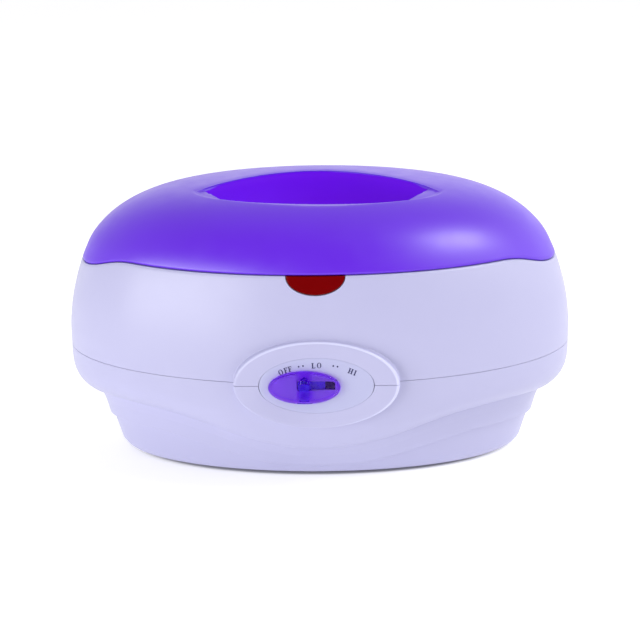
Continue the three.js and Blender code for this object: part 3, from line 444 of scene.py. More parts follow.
def build_upper():
    m = Mesh()
    base = SEAM_Z + SEAM_GAP / 2
    edge = lid_edge(TH) - GAP
    J = 34
    rows = []
    zs = np.linspace(base, 118.0, J + 1)
    lip = 0.35                                        # small rounding of the skin at the seam
    for z in zs:
        rows.append(on(half(z), half(z) * K, z))
    rows[0] = on(half(base) - 0.12, (half(base)) * K - 0.12, base)
    top_n = 24
    for s in np.linspace(0, 1, top_n + 1)[1:]:
        z = mix(118.0, edge - 0.8, s)
        rows.append(on(half(z), half(z) * K, z))
    # rounded shoulder, rebate for the lid, deck, lip down to the bath, and the inner skin
    he = half(edge)
    prof = fillet([(he - half(edge - 0.8) + 0.0, edge - 0.8), (0.0, edge), (-3.3, edge), (159.4 - he, RIM_Z), (147.4 - he, RIM_Z),
                   (147.4 - he, RIM_Z - 5), (150 - he, RIM_Z - 5)],
                  [0, 0.6, 0.9, 1.2, 0.8, 0.3, 0], arc=4, straight=[1, 2, 3, 4, 3, 1])
    # the same inset on both axes keeps the wall even; the deck is the construction's own oval
    prof = prof[1:]
    def oval_of(inset_a, z):
        a = he + inset_a
        b_out = he * K + inset_a
        # deck and bath opening: b follows the construction's rings
        t = np.clip((he - 3.3 - a) / np.maximum(he - 3.3 - 159.4, 0.2), 0, 1)
        b_deck = mix(he * K - 3.3, 159.4 * K - 1.1, t)
        t2 = np.clip((159.4 - a) / 12.0, 0, 1)
        b_in = mix(159.4 * K - 1.1, 83.9, t2)
        b = np.where(a > he - 3.3 - 1e-6, b_out, np.where(a > 159.4, b_deck, np.where(a > 147.4, b_in, a - 147.4 + 83.9)))
        return a, b
    for a_, z_ in prof[:-1]:
        A, Bv = oval_of(a_, z_)
        rows.append(on(A, Bv, z_))
    rows.append(on(150, 86.5, RIM_Z - 5))
    rows.append(on(150.5, 87, RIM_Z - 2.6))
    rows.append(on(156.2, 156.2 * K - 1.4, RIM_Z - 2.6))
    rows.append(on(160.4, 160.4 * K - 1.8, 138))
    rows.append(on(half(122) - WALL - 2, half(122) * K - WALL - 2, 122))
    rows.append(on(half(108) - WALL, half(108) * K - WALL, 108))
    rows.append(on(half(85.2) - WALL, half(85.2) * K - WALL, 85.2))
    rows.append(on(half(84.6) - 1.3, half(84.6) * K - 1.3, 84.6))
    rows.append(on(half(base) - 1.3, half(base) * K - 1.3, base))
    ids = np.array([m.add(r) for r in rows])
    m.faces(grid_faces(ids, skip=lambda j, i: j < J and IL <= i < IR))
    border = [int(ids[j, IR]) for j in range(J + 1)] + [int(ids[J, i]) for i in range(IR - 1, IL, -1)] + [int(ids[j, IL]) for j in range(J, -1, -1)]
    seam = panel_patch(m, border, upper_y, +1)
    outer = list(ids[0])
    outer[IL:IR + 1] = seam
    # flat face at the seam
    inner = ids[-1]
    m.faces([(int(outer[i]), int(outer[(i + 1) % COLS]), int(inner[(i + 1) % COLS]), int(inner[i])) for i in range(COLS)])
    used = sorted(set(i for f in m.f for i in f))
    V = np.concatenate(m.v)
    remap = {o: n for n, o in enumerate(used)}
    obj = mesh_object("upper_shell", V[used], [tuple(remap[i] for i in f) for f in m.f])
    cutters = [
        oval_cutter(INSERT["a"] + GAP + 0.1, INSERT["b"] + GAP + 0.1, PANEL["z"], [(-116, 0.03), (PANEL["face"] + 0.0, 0.03), (PANEL["face"] + 0.04, 0), (PANEL["face"] + INSERT["thick"] + 0.3, 0)]),
        oval_cutter(36.6, 17.6, PANEL["z"], [(PANEL["face"] - 1, 0), (-90, 0)], n=96),
        lens_cutter(),
        box_cutter(-14, 14, -100, -90, 142, 149.4),
    ]
    boolean(obj, cutters)
    return obj


def half_oval(a, b, n):
    """points of the half oval below its flat top, from the left end round to the right end"""
    t = np.linspace(math.pi, 2 * math.pi, n)
    return np.stack([a * np.cos(t), b * np.sin(t)], 1)


def lens_cutter():
    n = 97
    rows = []
    for y, g in [(-116, 0.55), (-104.6, 0.55), (-96.9, GAP)]:
        p = half_oval(LENS["a"] + g, LENS["b"] + g, n)
        p[0, 1] = p[-1, 1] = 0
        top = np.array([[LENS["a"] + g, 8.0], [-LENS["a"] - g, 8.0]])
        q = np.vstack([p, top])
        rows.append(np.stack([q[:, 0], np.full(len(q), y), LENS["z"] + q[:, 1]], 1))
    return loft_rows("cutter", rows, angle=None)


# ------------------------------------------------------------------ lower housing
def lower_y(x, z):
    """skin between the seam and the first ledge, at the front"""
    th = np.arcsin(np.clip(x / HALF_WIDTH, -0.95, 0.95))
    for _ in range(10):
        d = lower_inset_top(th, z)
        th = np.arcsin(np.clip(x / (HALF_WIDTH - d), -0.97, 0.97))
    return -(HALF_DEPTH - lower_inset_top(th, z)) * np.cos(th)


def build_lower():
    m = Mesh()
    top = SEAM_Z - SEAM_GAP / 2
    w, z1, z2 = endness(TH), ledge1(TH), ledge2(TH)
    dA, s1, dB, s2 = mix(21, 12, w), mix(1.5, 6.8, w), mix(33, 24.2, w), mix(1, 3, w)
    F1, J = 0.685, 36
    path = []                                        # (inset, z) down the skin
    fs = np.linspace(0, F1, J + 1)
    for f in fs:
        z = mix(top, z1, f)
        path.append((lower_inset_top(TH, z), z))
    path[0] = (path[0][0] + 0.12, path[0][1])
    for s in np.linspace(0, 1, 17)[1:]:
        z = mix(top, z1 + 0.9, F1 + (1 - F1) * s)
        path.append((lower_inset_top(TH, z), z))
    h1, h2 = mix(0.9, 2.0, w), mix(0.6, 1.2, w)
    start = path[-1]
    mid_z, mid_d = mix(z1, z2, 0.5), mix(dA + s1, dB, 0.5 ** 0.9)
    steps = fillet([start, (dA + 0.15, z1), (dA + s1, z1 - h1), (mid_d, mid_z), (dB, z2 + 0.0), (dB + s2, z2 - h2),
                    (mix(dB + s2, mix(35, 33.2, w), 0.5), mix(z2 - h2, 7.4, 0.5)), (mix(35, 33.2, w), 7.4), (35.9, 4.0), (38.0, FLOOR_Z), (44.5, FLOOR_Z)],
                   [0, mix(0.7, 1.1, w), mix(1.6, 2.6, w), 9.0, mix(0.5, 0.9, w), mix(1.2, 1.8, w), 4.0, 3.0, 2.0, 1.2, 0], arc=6,
                   straight=[2, 2, 5, 5, 2, 4, 4, 3, 2, 2])
    path += [(p[0], p[1]) for p in steps[1:]]
    rows = [on(HALF_WIDTH - d, HALF_DEPTH - d, z) for d, z in path]
    for d in (100.0,):
        rows.append(on(HALF_WIDTH - d, HALF_DEPTH - 70, FLOOR_Z))
    rows.append(on(3, 3, FLOOR_Z))
    rows.append(on(3, 3, FLOOR_Z + 3))
    rows.append(on(HALF_WIDTH - 100, HALF_DEPTH - 70, FLOOR_Z + 3))
    rows.append(on(HALF_WIDTH - 44, HALF_DEPTH - 44, FLOOR_Z + 3))

    def inner(zf):
        z = np.broadcast_to(zf, TH.shape)
        d = np.zeros_like(TH)
        for dz in (-3, 0, 3):
            zz = np.clip(z + dz, FLOOR_Z + 3, SEAM_Z)
            top_d = lower_inset_top(TH, zz)
            mid = mix(dA + s1, dB, np.power(np.clip((z1 - zz) / (z1 - z2), 0, 1), 0.9))
            low = mix(dB + s2, mix(37, 35, w), np.clip((z2 - zz) / (z2 - FLOOR_Z - 3), 0, 1))
            d = np.maximum(d, np.where(zz >= z1, top_d, np.where(zz >= z2, mid, low)))
        return on(HALF_WIDTH - d - WALL, HALF_DEPTH - d - WALL, z)
    rows.append(inner(mix(FLOOR_Z, z2, 0.75) + 3))
    rows.append(inner(mix(z2, z1, 0.4) + 3))
    rows.append(inner(z1 + 3))
    rows.append(inner(mix(z1, SEAM_Z, 0.45)))
    rows.append(on(HALF_WIDTH - WALL, HALF_DEPTH - WALL, SEAM_Z - 6))
    rows.append(on(HALF_WIDTH - WALL, HALF_DEPTH - WALL, SEAM_Z + 4.1))
    rows.append(on(HALF_WIDTH - 1.7, HALF_DEPTH - 1.7, SEAM_Z + 4.1))
    rows.append(on(HALF_WIDTH - 1.7, HALF_DEPTH - 1.7, top))
    ids = np.array([m.add(r) for r in rows])
    # a plug closes the ring at the middle of the floor
    j3 = len(path) + 1
    m.faces(grid_faces(ids[: j3 + 1], skip=lambda j, i: j < J and IL <= i < IR))
    m.faces(grid_faces(ids[j3 + 1:]))
    m.fan(ids[j3], (0, 0, FLOOR_Z))
    m.fan(ids[j3 + 1][::-1], (0, 0, FLOOR_Z + 3))
    border = [int(ids[j, IR]) for j in range(J + 1)] + [int(ids[J, i]) for i in range(IR - 1, IL, -1)] + [int(ids[j, IL]) for j in range(J, -1, -1)]
    seam = panel_patch(m, border, lower_y, -1)
    outer = list(ids[0])
    outer[IL:IR + 1] = seam
    inner_ids = ids[-1]
    m.faces([(int(outer[i]), int(inner_ids[i]), int(inner_ids[(i + 1) % COLS]), int(outer[(i + 1) % COLS])) for i in range(COLS)])
    used = sorted(set(i for f in m.f for i in f))
    V = np.concatenate(m.v)
    remap = {o: n for n, o in enumerate(used)}
    obj = mesh_object("lower_shell", V[used], [tuple(remap[i] for i in f) for f in m.f])
    adds = [tower_post(x, y) for x, y in TIE] + [gland_pad(), box_cutter(-18, 18, 78, 97.8, 40.4, 43)]
    boolean(obj, adds, op="UNION")
    cutters = [
        box_cutter(-63, 63, -130, -98, top, SEAM_Z + 10),
        box_cutter(-9.6, 9.6, -100.4, -85, 46.6, 66),
        oval_cutter(INSERT["a"] + GAP + 0.1, INSERT["b"] + GAP + 0.1, PANEL["z"], [(-116, 0.03), (PANEL["face"] + 0.0, 0.03), (PANEL["face"] + 0.04, 0), (PANEL["face"] + INSERT["thick"] + 0.3, 0)]),
        oval_cutter(36.6, 17.6, PANEL["z"], [(PANEL["face"] - 1, 0), (-90, 0)], n=96),
        round_cutter((0, 0, 58), [(90, 7.3), (120, 7.3)]),
        round_cutter((0, 0, 58), [(90, 10.4), (104.6, 10.4)]),
        round_cutter((0, 0, 58), [(107.95, 11.8), (130, 11.8)]),
        post_cutter(0, 87, [(30, 1.6), (60, 1.6)]),
    ]
    for x, y in TIE:
        cutters.append(post_cutter(x, y, [(-2, 4.7), (FLOOR_Z, 4.7), (FLOOR_Z + 0.8, 3.9), (37, 3.9)]))
        cutters.append(post_cutter(x, y, [(36, 1.95), (50, 1.95)]))
    for x, y in FOOT:
        cutters.append(post_cutter(x, y, [(-2, 9.0), (FLOOR_Z, 9.0), (FLOOR_Z + 0.5, 8.5), (3.7, 8.5)]))
    boolean(obj, cutters)
    return obj


def post_cutter(x, y, stations, n=40):
    t = np.linspace(0, 2 * np.pi, n, endpoint=False)
    rows = [np.stack([x + r * np.cos(t), y + r * np.sin(t), np.full(n, z)], 1) for z, r in stations]
    return loft_rows("cutter", rows, angle=None)


def round_cutter(c, stations, n=48):
    t = np.linspace(0, 2 * np.pi, n, endpoint=False)
    rows = [np.stack([c[0] + r * np.cos(t), np.full(n, y), c[2] + r * np.sin(t)], 1) for y, r in stations]
    return loft_rows("cutter", rows, angle=None)


def tower_post(x, y):
    return post_cutter(x, y, [(FLOOR_Z + 0.5, 5.6), (39.5, 5.6), (40, 5.1)])


def gland_pad():
    return round_cutter((0, 0, 58), [(101.5, 12.8), (107.6, 12.8), (108, 12.4)])


# ------------------------------------------------------------------ lid
def recess_xy(phi, scale):
    c, s = np.cos(phi), np.sin(phi)
    mexp, b = np.where(s > 0, 2.3, 1.12), np.where(s > 0, RECESS["back"], RECESS["front"])
    x = 0.8 + RECESS["a"] * c * scale
    return x, RECESS["y"] - 0.022 * x + b * np.sign(s) * np.power(np.abs(s), mexp) * scale


def build_lid():
    n = 320
    phi = np.linspace(0, 2 * np.pi, n, endpoint=False)
    # points gather at the two pointed ends of the recess
    phi = phi - 0.30 * np.sin(2 * phi) / 2
    th = phi + np.pi / 2
    s = np.sin(phi)
    frontness = np.clip(-s, 0, 1)
    rows = []

    def recess_row(scale, z, phi=phi):
        x, y = recess_xy(phi, scale)
        return np.stack([x, y, np.broadcast_to(z, x.shape)], 1)
    x1, y1 = recess_xy(phi, 1.0)
    rim = dome_z(x1, y1)
    drop = mix(0.5, 1.7, frontness)
    # the basin's wall as a spline of (scale, z) for every column, from the floor out to the foot of the lip
    f = RECESS["floor"]
    band = mix(0.972, 0.985, np.clip(s * 3, 0, 1))
    foot_z = rim - drop - mix(1.6, 1.0, np.clip(s * 3, 0, 1))
    S = np.array([0.04, 0.34, 0.62, 0.82, 0.925])
    Zc = np.stack([np.full(n, f), np.full(n, f), np.full(n, f + 1.8), np.full(n, f + 7), np.full(n, f + 15.5)], 0)
    us = np.linspace(0.0, 1.0, 46) ** 0.68
    scs = mix(0.04, (band - 0.004)[:, None], us[None, :])
    wall = np.stack([pchip(list(S) + [float(band[i])], list(Zc[:, i]) + [float(foot_z[i] - 1.4)])(scs[i]) for i in range(n)])

    def shelf(x, y, z):
        """towards each tip the front of the recess runs out in a shallow, nearly level shelf"""
        off = (np.abs(x) - 78.0) * 0.854 - (y + 19.0) * 0.518
        k = np.clip(off / 2.6, 0, 1)
        k = k * k * (3 - 2 * k)
        top = dome_z(x, y) - 2.1 + 0.10 * np.clip(off, 0, 6)
        return np.where(top > z, mix(z, top, k), z)
    for j in range(len(us)):
        x, y = recess_xy(phi, scs[:, j])
        rows.append(np.stack([x, y, shelf(x, y, wall[:, j])], 1))
    # the lip: a hair of undercut behind, then rounded over its top edge
    back = np.clip(s * 4, 0, 1)
    last = rows[-1][:, 2]
    edge_z = rim - drop
    for q, e in [(0.25, 0.0), (0.5, 0.0), (0.7, 0.04), (0.84, 0.12), (0.93, 0.12), (0.98, 0.06), (1.0, 0.0)]:
        sc = mix(band, 1.0, q) + 0.006 * back * math.sin(math.pi * q)
        x, y = recess_xy(phi, sc)
        rows.append(np.stack([x, y, mix(last, edge_z, q ** 0.8) - e * 0.5], 1))
    outer_a = float(half(190.5))
    # crown
    ox, oy = outer_a * np.sin(th), -outer_a * K * np.cos(th)
    for q in np.concatenate([[0.012, 0.03, 0.06, 0.1], np.linspace(0.15, 1, 20)]):
        x, y = mix(x1, ox, q), mix(y1, oy, q)
        z = dome_z(x, y)
        # the front of the crown dips a little towards the recess
        z = z - drop * np.exp(-((q * np.hypot(ox - x1, oy - y1)) / mix(2.5, 3.6, frontness)) ** 2)
        rows.append(np.stack([x, y, z], 1))
    for z in np.concatenate([np.linspace(190.5, 182, 8)[1:], np.linspace(182, 164, 13)[1:]]):
        rows.append(on(half(z), half(z) * K, z, th))
    e = lid_edge(th)
    for q in np.linspace(0, 1, 12)[1:]:
        z = mix(164.0, e + 1.6, q)
        rows.append(on(half(z), half(z) * K, z, th))
    # rounded lower edge
    he = half(e)
    for q in np.linspace(0, 1, 7)[1:]:
        a = q * math.pi / 2
        z = e + 1.6 * (1 - math.sin(a))
        rows.append(on(half(e + 1.6) - 1.6 * (1 - math.cos(a)), half(e + 1.6) * K - 1.6 * (1 - math.cos(a)), z, th))
    rows.append(on(he - LID_WALL, he * K - LID_WALL, e, th))
    for q in (0.5, 1.0):
        z = mix(e, 158.0, q)
        rows.append(on(half(z) - LID_WALL, half(z) * K - LID_WALL, z, th))
    for z in (163, 169, 174, 178, 182, 185):
        rows.append(on(half(z) - LID_WALL - 0.6, half(z) * K - LID_WALL - 0.6, z - 1.2, th))
    rows.append(on(float(half(189)) - 3, float(half(189)) * K - 3, 186.4, th))
    x, y = recess_xy(phi, 1.06)
    rows.append(np.stack([x, y, np.minimum(dome_z(x, y) - 3.2, 191)], 1))
    x, y = recess_xy(phi, 1.0)
    rows.append(np.stack([x, y, dome_z(x, y) - 6.5], 1))
    rows.append(recess_row(0.965, f + 13))
    rows.append(recess_row(0.86, f + 4.2))
    rows.append(recess_row(0.62, f - 1))
    rows.append(recess_row(0.34, f - 2.6))
    rows.append(recess_row(0.04, f - 2.6))
    return loft_rows("lid_shell", rows, angle=40)


# ------------------------------------------------------------------ bath
def build_tank():
    th = np.linspace(0, 2 * np.pi, 240, endpoint=False)
    at_, bt, al, bl, w, fz = 146.6, 83.1, 133.0, 70.0, 1.6, 72.0
    pts = [(2, 2, fz), (al - 13, bl - 13, fz), (al - 4, bl - 4, fz + 4), (al, bl, fz + 13), (at_, bt, 152), (at_, bt, 157.8), (152.6, 89.1, 157.8),
           (153, 89.5, 158.6), (152.6, 89.1, 159.4), (at_ - 0.4, bt - 0.4, 159.4), (at_ - w, bt - w, 157.8), (al - w, bl - w, fz + 13.4),
           (al - 5, bl - 5, fz + 5), (al - 14, bl - 14, fz + w), (2, 2, fz + w)]
    off = [a - b for a, b, z in pts]
    prof = fillet([(a, z) for a, b, z in pts], [0, 9, 12, 14, 6, 0.6, 0.4, 0.6, 0.4, 1.4, 2.0, 14, 11, 8, 0], arc=6, straight=[5, 2, 2, 8, 2, 2, 1, 1, 2, 1, 9, 2, 2, 5])
    rows = []
    A = np.array([p[0][0] for p in prof])
    Z = np.array([p[1][0] for p in prof])
    # the difference of the half axes, carried along the profile by nearest control point
    cp = np.array([(a, z) for a, b, z in pts])
    ca = np.concatenate([[0], np.cumsum(np.hypot(*np.diff(cp, axis=0).T))])
    pp = np.stack([A, Z], 1)
    pa = np.concatenate([[0], np.cumsum(np.hypot(*np.diff(pp, axis=0).T))])
    D = np.interp(pa / pa[-1], ca / ca[-1], off)
    D = np.where(A < 30, np.interp(A, [2, 30], [0, D[np.argmin(abs(A - 30))]]), D)
    for a, d, z in zip(A, D, Z):
        rows.append(np.stack([a * np.sin(th), -(a - d) * np.cos(th), np.full(len(th), z)], 1))
    obj = loft_rows("bath_shell", rows, angle=40)
    adds = [post_cutter(x, y, [(41.6, 5), (fz + 0.6, 5)]) for x, y in TIE] + [post_cutter(x, y, [(57.2, 2), (fz + 0.6, 2)], 24) for x, y in STUD] + [post_cutter(0, -47, [(64.4, 2), (fz + 0.6, 2)], 24)]
    boolean(obj, adds, op="UNION", angle=40)
    boolean(obj, [post_cutter(x, y, [(36, 1.95), (64, 1.95)], 24) for x, y in TIE], angle=40)
    return obj


# ------------------------------------------------------------------ control panel pieces
def build_plate():
    n = 240
    t = np.linspace(0, 2 * np.pi, n, endpoint=False)
    face, back_y = PANEL["face"], PANEL["face"] + INSERT["thick"]
    off = np.minimum(np.abs(t - np.pi), np.minimum(t, 2 * np.pi - t))          # angle from the seam's two ends
    fit = 0.335 - 0.385 * np.exp(-(off / 0.30) ** 2)
    rows = []
    for y, g in [(face, None), (face, -12.0), (face, -3.0), (face, -0.10), (face + 0.015, -0.045), (face + 0.045, -0.012), (face + 0.10, 0), (back_y, 0), (back_y, -12)]:
        if g is None:
            rows.append(np.stack([0.3 * INSERT["a"] * np.cos(t), np.full(n, y), PANEL["z"] + 0.3 * INSERT["b"] * np.sin(t)], 1))
        else:
            rows.append(np.stack([(INSERT["a"] + fit + g) * np.cos(t), np.full(n, y), PANEL["z"] + (INSERT["b"] + fit + g) * np.sin(t)], 1))
    obj = loft_rows("scale_plate", rows)
    boolean(obj, [round_cutter((x, 0, PANEL["z"] + 1), [(back_y - 0.5, 2.5), (-106, 2.5)], 32) for x in (-28.2, 28.2)], op="UNION")
    boolean(obj, [round_cutter((x, 0, PANEL["z"] + 1), [(back_y - 0.2, 1.35), (-100, 1.35)], 24) for x in (-28.2, 28.2)] + [slot_cutter()])
    return obj


def slot_cutter():
    """the slot, with rounded corners and a small chamfer at the face"""
    face = PANEL["face"]
    rows = []
    for y, g in [(-120, 0.25), (face, 0.25), (face + 0.25, 0), (-105, 0)]:
        x0, x1, z0, z1, r = -12.8 - g, 12.8 + g, STEM_Z - 3.1 - g, STEM_Z + 3.1 + g, 0.8 + g
        pts = []
        for cx, cz, a0 in [(x1 - r, z1 - r, 0), (x0 + r, z1 - r, 90), (x0 + r, z0 + r, 180), (x1 - r, z0 + r, 270)]:
            for a in np.radians(np.linspace(a0, a0 + 90, 7)):
                pts.append((cx + r * math.cos(a), y, cz + r * math.sin(a)))
        rows.append(np.array(pts))
    return loft_rows("cutter", rows, angle=None)


KNOB_Z = 79.6


def build_knob():
    n = 160
    t = np.linspace(0, 2 * np.pi, n, endpoint=False)

    def row(a, b, y):
        return np.stack([SLIDER_X + a * np.cos(t), np.full(n, y), KNOB_Z + b * np.sin(t)], 1)
    rows = [row(23.2, 10.5, -113.5), row(23.7, 11.0, -113.62), row(24.0, 11.3, -113.85), row(24.1, 11.4, -114.15), row(24.1, 11.4, -115.2), row(24.1, 11.4, -116.1),
            row(24.02, 11.32, -116.4), row(23.8, 11.1, -116.72), row(23.45, 10.75, -116.93), row(23.1, 10.4, -117.0), row(22.8, 10.15, -116.95), row(22.5, 9.9, -116.8),
            row(22.2, 9.65, -116.62), row(21.9, 9.4, -116.52), row(20.5, 8.75, -116.4), row(17, 7.2, -116.25), row(12, 5, -116.1), row(5, 2, -116.02), row(0.5, 0.2, -116.0)]
    obj = loft_rows("knob_body", rows, angle=34)
    hollow = oval_cutter(22.3, 9.6, KNOB_Z, [(-112, 0), (-114.45, 0), (-114.68, -0.1), (-114.8, -0.35)], n=120, x=SLIDER_X)
    boolean(hollow, [box_cutter(SLIDER_X - 5.3, SLIDER_X + 5.3, -130, -100, 60, 100)], angle=34)
    boolean(obj, [hollow], angle=34)
    boolean(obj, [rib_solid()], op="UNION", angle=34)
    boolean(obj, [box_cutter(SLIDER_X - 3.2, SLIDER_X + 3.2, -117.3, -113, STEM_Z - 2.4, STEM_Z + 2.4)], angle=34)
    return obj


def rib_solid():
    """grip rib with a pointed top, rounded along its edges"""
    outline = [(-3.4, -8.4), (3.4, -8.4), (3.4, 4.6), (0.0, 8.6), (-3.4, 4.6)]

    def rounded(pts, r, k=5):
        out = []
        m = len(pts)
        for i in range(m):
            a, b, c = Vector(pts[i - 1]), Vector(pts[i]), Vector(pts[(i + 1) % m])
            ua, uc = (a - b).normalized(), (c - b).normalized()
            ang = ua.angle(uc) / 2
            tt = r / math.tan(ang)
            p0, p1 = b + ua * tt, b + uc * tt
            for q in range(k + 1):
                s = q / k
                out.append(((1 - s) ** 2 * p0 + 2 * s * (1 - s) * b + s * s * p1))
        return [(p.x, p.y) for p in out]
    base = rounded(outline, 0.9)
    c = Vector((0, 0))
    rows = []
    for y, g in [(-115.4, 0), (-120.6, 0), (-121.1, -0.12), (-121.45, -0.4), (-121.6, -0.85)]:
        rr = []
        for x, z in base:
            v = Vector((x, z))
            # pull in evenly: towards a spine line down the middle
            spine = Vector((0, min(max(z, -6.0), 4.0)))
            dvec = v - spine
            L = dvec.length
            v2 = spine + dvec * ((L + g) / L) if L > 1e-6 else v
            rr.append((SLIDER_X + v2.x, y, KNOB_Z + v2.y))
        rows.append(np.array(rr))
    return loft_rows("rib", rows, angle=None)


def build_lens():
    """half-oval window whose face follows the skin"""
    n, R = 97, 16
    face_rows = []
    scales = list(np.linspace(0.0, 0.94, R)) + [0.965, 0.985, 0.995, 1.0]
    inset = [0.0] * R + [0.03, 0.12, 0.28, 0.55]
    t = np.linspace(math.pi, 2 * math.pi, n)
    m = Mesh()
    ids = []
    for s, d in zip(scales, inset):
        x = LENS["a"] * s * np.cos(t)
        z = LENS["z"] - 0.0 + LENS["b"] * s * np.sin(t)
        y = upper_y(x, z) + 0.15 + d
        if s == 0.0:
            c = int(m.add([(0, upper_y(np.array([0.0]), np.array([LENS["z"]]))[0] + 0.15, LENS["z"])])[0])
            ids.append(np.full(n, c))
        else:
            ids.append(m.add(np.stack([x, y, z], 1)))
    ids = np.array(ids)
    m.faces([(int(ids[1][i]), int(ids[1][i + 1]), int(ids[0][0])) for i in range(n - 1)])
    m.faces(grid_faces(ids[1:], wrap=False))
    back_y = -97.2
    b_ids = []
    for s in scales:
        x = LENS["a"] * s * np.cos(t)
        z = LENS["z"] + LENS["b"] * s * np.sin(t)
        if s == 0.0:
            cb = int(m.add([(0, back_y, LENS["z"])])[0])
            b_ids.append(np.full(n, cb))
        else:
            b_ids.append(m.add(np.stack([x, np.full(n, back_y), z], 1)))
    b_ids = np.array(b_ids)
    m.faces([(int(b_ids[1][i + 1]), int(b_ids[1][i]), int(b_ids[0][0])) for i in range(n - 1)])
    m.faces([f[::-1] for f in grid_faces(b_ids[1:], wrap=False)])
    o, b = ids[-1], b_ids[-1]
    m.faces([(int(o[i]), int(b[i]), int(b[i + 1]), int(o[i + 1])) for i in range(n - 1)])
    # flat top
    for i in range(1, len(scales)):
        for side in (0, -1):
            p, q = ids[i - 1][side], ids[i][side]
            r, u = b_ids[i][side], b_ids[i - 1][side]
            m.faces([(int(p), int(q), int(r), int(u))] if side == 0 else [(int(q), int(p), int(u), int(r))])
    return m.object("lens_body", 34)


def build_gland():
    prof = fillet([(3.6, 101.2), (9.6, 101.2), (9.6, 104.2), (6.9, 104.2), (6.9, 108.3), (11.0, 108.3), (11.0, 110.6), (8.0, 112.0), (7.0, 121.0), (6.4, 122.0), (3.6, 122.0), (3.6, 101.2)],
                  [0, 0.3, 0.3, 0, 0, 0.4, 0.7, 1.2, 0.6, 0.5, 0.5, 0], arc=5, straight=[1, 1, 1, 1, 1, 1, 1, 3, 1, 1, 4])
    pts = [(float(p[0][0]), float(p[1][0])) for p in prof]
    return lathe("gland_body", pts, (0, 0, 58), axis="Y", n=72)


def build_foot(i):
    x, y = FOOT[i]
    prof = fillet([(0.001, 0.0), (2.6, 0.0), (3.0, 0.5), (4.2, 0.5), (4.6, 0.0), (6.9, 0.0), (7.7, 0.9), (8.0, 3.4), (0.001, 3.4)],
                  [0, 0.15, 0.15, 0.15, 0.15, 0.5, 0.4, 0.1, 0], arc=3, straight=[1, 1, 1, 1, 1, 1, 2, 1])
    pts = [(float(p[0][0]), float(p[1][0])) for p in prof]
    return lathe("foot_pad_" + ["front_left", "front_right", "rear_left", "rear_right"][i], pts, (x, y, 0), n=48)


# ------------------------------------------------------------------ materials
def tree_of(name):
    mat = bpy.data.materials.new(name)
    mat.use_nodes = True
    nt = mat.node_tree
    bsdf = nt.nodes["Principled BSDF"]
    return mat, nt, bsdf


def noise_node(nt, scale, detail=3.0, rough=0.55, coord=None):
    n = nt.nodes.new("ShaderNodeTexNoise")
    n.inputs["Scale"].default_value = scale
    n.inputs["Detail"].default_value = detail
    n.inputs["Roughness"].default_value = rough
    nt.links.new(coord, n.inputs["Vector"])
    return n


def ramp(nt, src, lo, hi, p0=0.3, p1=0.7):
    r = nt.nodes.new("ShaderNodeMapRange")
    r.inputs["From Min"].default_value, r.inputs["From Max"].default_value = p0, p1
    r.inputs["To Min"].default_value, r.inputs["To Max"].default_value = lo, hi
    nt.links.new(src, r.inputs["Value"])
    return r.outputs["Result"]


def colour_mix(nt, fac, a, b):
    mx = nt.nodes.new("ShaderNodeMix")
    mx.data_type = "RGBA"
    mx.inputs["A"].default_value = (*a, 1)
    mx.inputs["B"].default_value = (*b, 1)
    nt.links.new(fac, mx.inputs["Factor"])
    return mx.outputs["Result"]


def srgb(r, g, b):
    return tuple((c / 255 / 12.92) if c / 255 <= 0.04045 else ((c / 255 + 0.055) / 1.055) ** 2.4 for c in (r, g, b))


def moulded(name, a, b, rough=(0.3, 0.36), grain=900.0, grain_bump=0.02, wave=12.0, coat=0.0, coat_rough=0.1, ior=1.5, metallic=0.0, spec=None):
    """Moulded plastic or satin metal: a cloudy tint, fine surface grain and long, faint unevenness."""
    mat, nt, p = tree_of(name)
    coord = nt.nodes.new("ShaderNodeTexCoord").outputs["Object"]
    cloud = noise_node(nt, wave, 4.0, 0.6, coord)
    nt.links.new(colour_mix(nt, ramp(nt, cloud.outputs["Fac"], 0, 1), a, b), p.inputs["Base Color"])
    fine = noise_node(nt, grain, 2.0, 0.5, coord)
    nt.links.new(ramp(nt, noise_node(nt, wave * 6, 3.0, 0.6, coord).outputs["Fac"], rough[0], rough[1]), p.inputs["Roughness"])
    bump = nt.nodes.new("ShaderNodeBump")
    bump.inputs["Strength"].default_value = grain_bump
    bump.inputs["Distance"].default_value = 0.0003
    nt.links.new(fine.outputs["Fac"], bump.inputs["Height"])
    nt.links.new(bump.outputs["Normal"], p.inputs["Normal"])
    p.inputs["IOR"].default_value = ior
    p.inputs["Metallic"].default_value = metallic
    if spec is not None:
        p.inputs["Specular IOR Level"].default_value = spec
    if coat:
        p.inputs["Coat Weight"].default_value = coat
        p.inputs["Coat Roughness"].default_value = coat_rough
    return mat


def tinted_clear(name, tint, rough=0.06, ior=1.49, transmission=1.0, density=0.0, absorb=(0.5, 0.5, 0.5), spec=0.5):
    """Clear coloured plastic, with faint flow marks from moulding."""
    mat, nt, p = tree_of(name)
    coord = nt.nodes.new("ShaderNodeTexCoord").outputs["Object"]
    flow = noise_node(nt, 120.0, 3.0, 0.5, coord)
    nt.links.new(colour_mix(nt, ramp(nt, flow.outputs["Fac"], 0, 1), tint, tuple(min(1, c * 1.04) for c in tint)), p.inputs["Base Color"])
    nt.links.new(ramp(nt, flow.outputs["Fac"], rough * 0.8, rough * 1.25), p.inputs["Roughness"])
    p.inputs["IOR"].default_value = ior
    p.inputs["Transmission Weight"].default_value = transmission
    p.inputs["Specular IOR Level"].default_value = spec
    if density:
        out = nt.nodes["Material Output"]
        vol = nt.nodes.new("ShaderNodeVolumeAbsorption")
        vol.inputs["Color"].default_value = (*absorb, 1)
        vol.inputs["Density"].default_value = density
        nt.links.new(vol.outputs["Volume"], out.inputs["Volume"])
    return mat


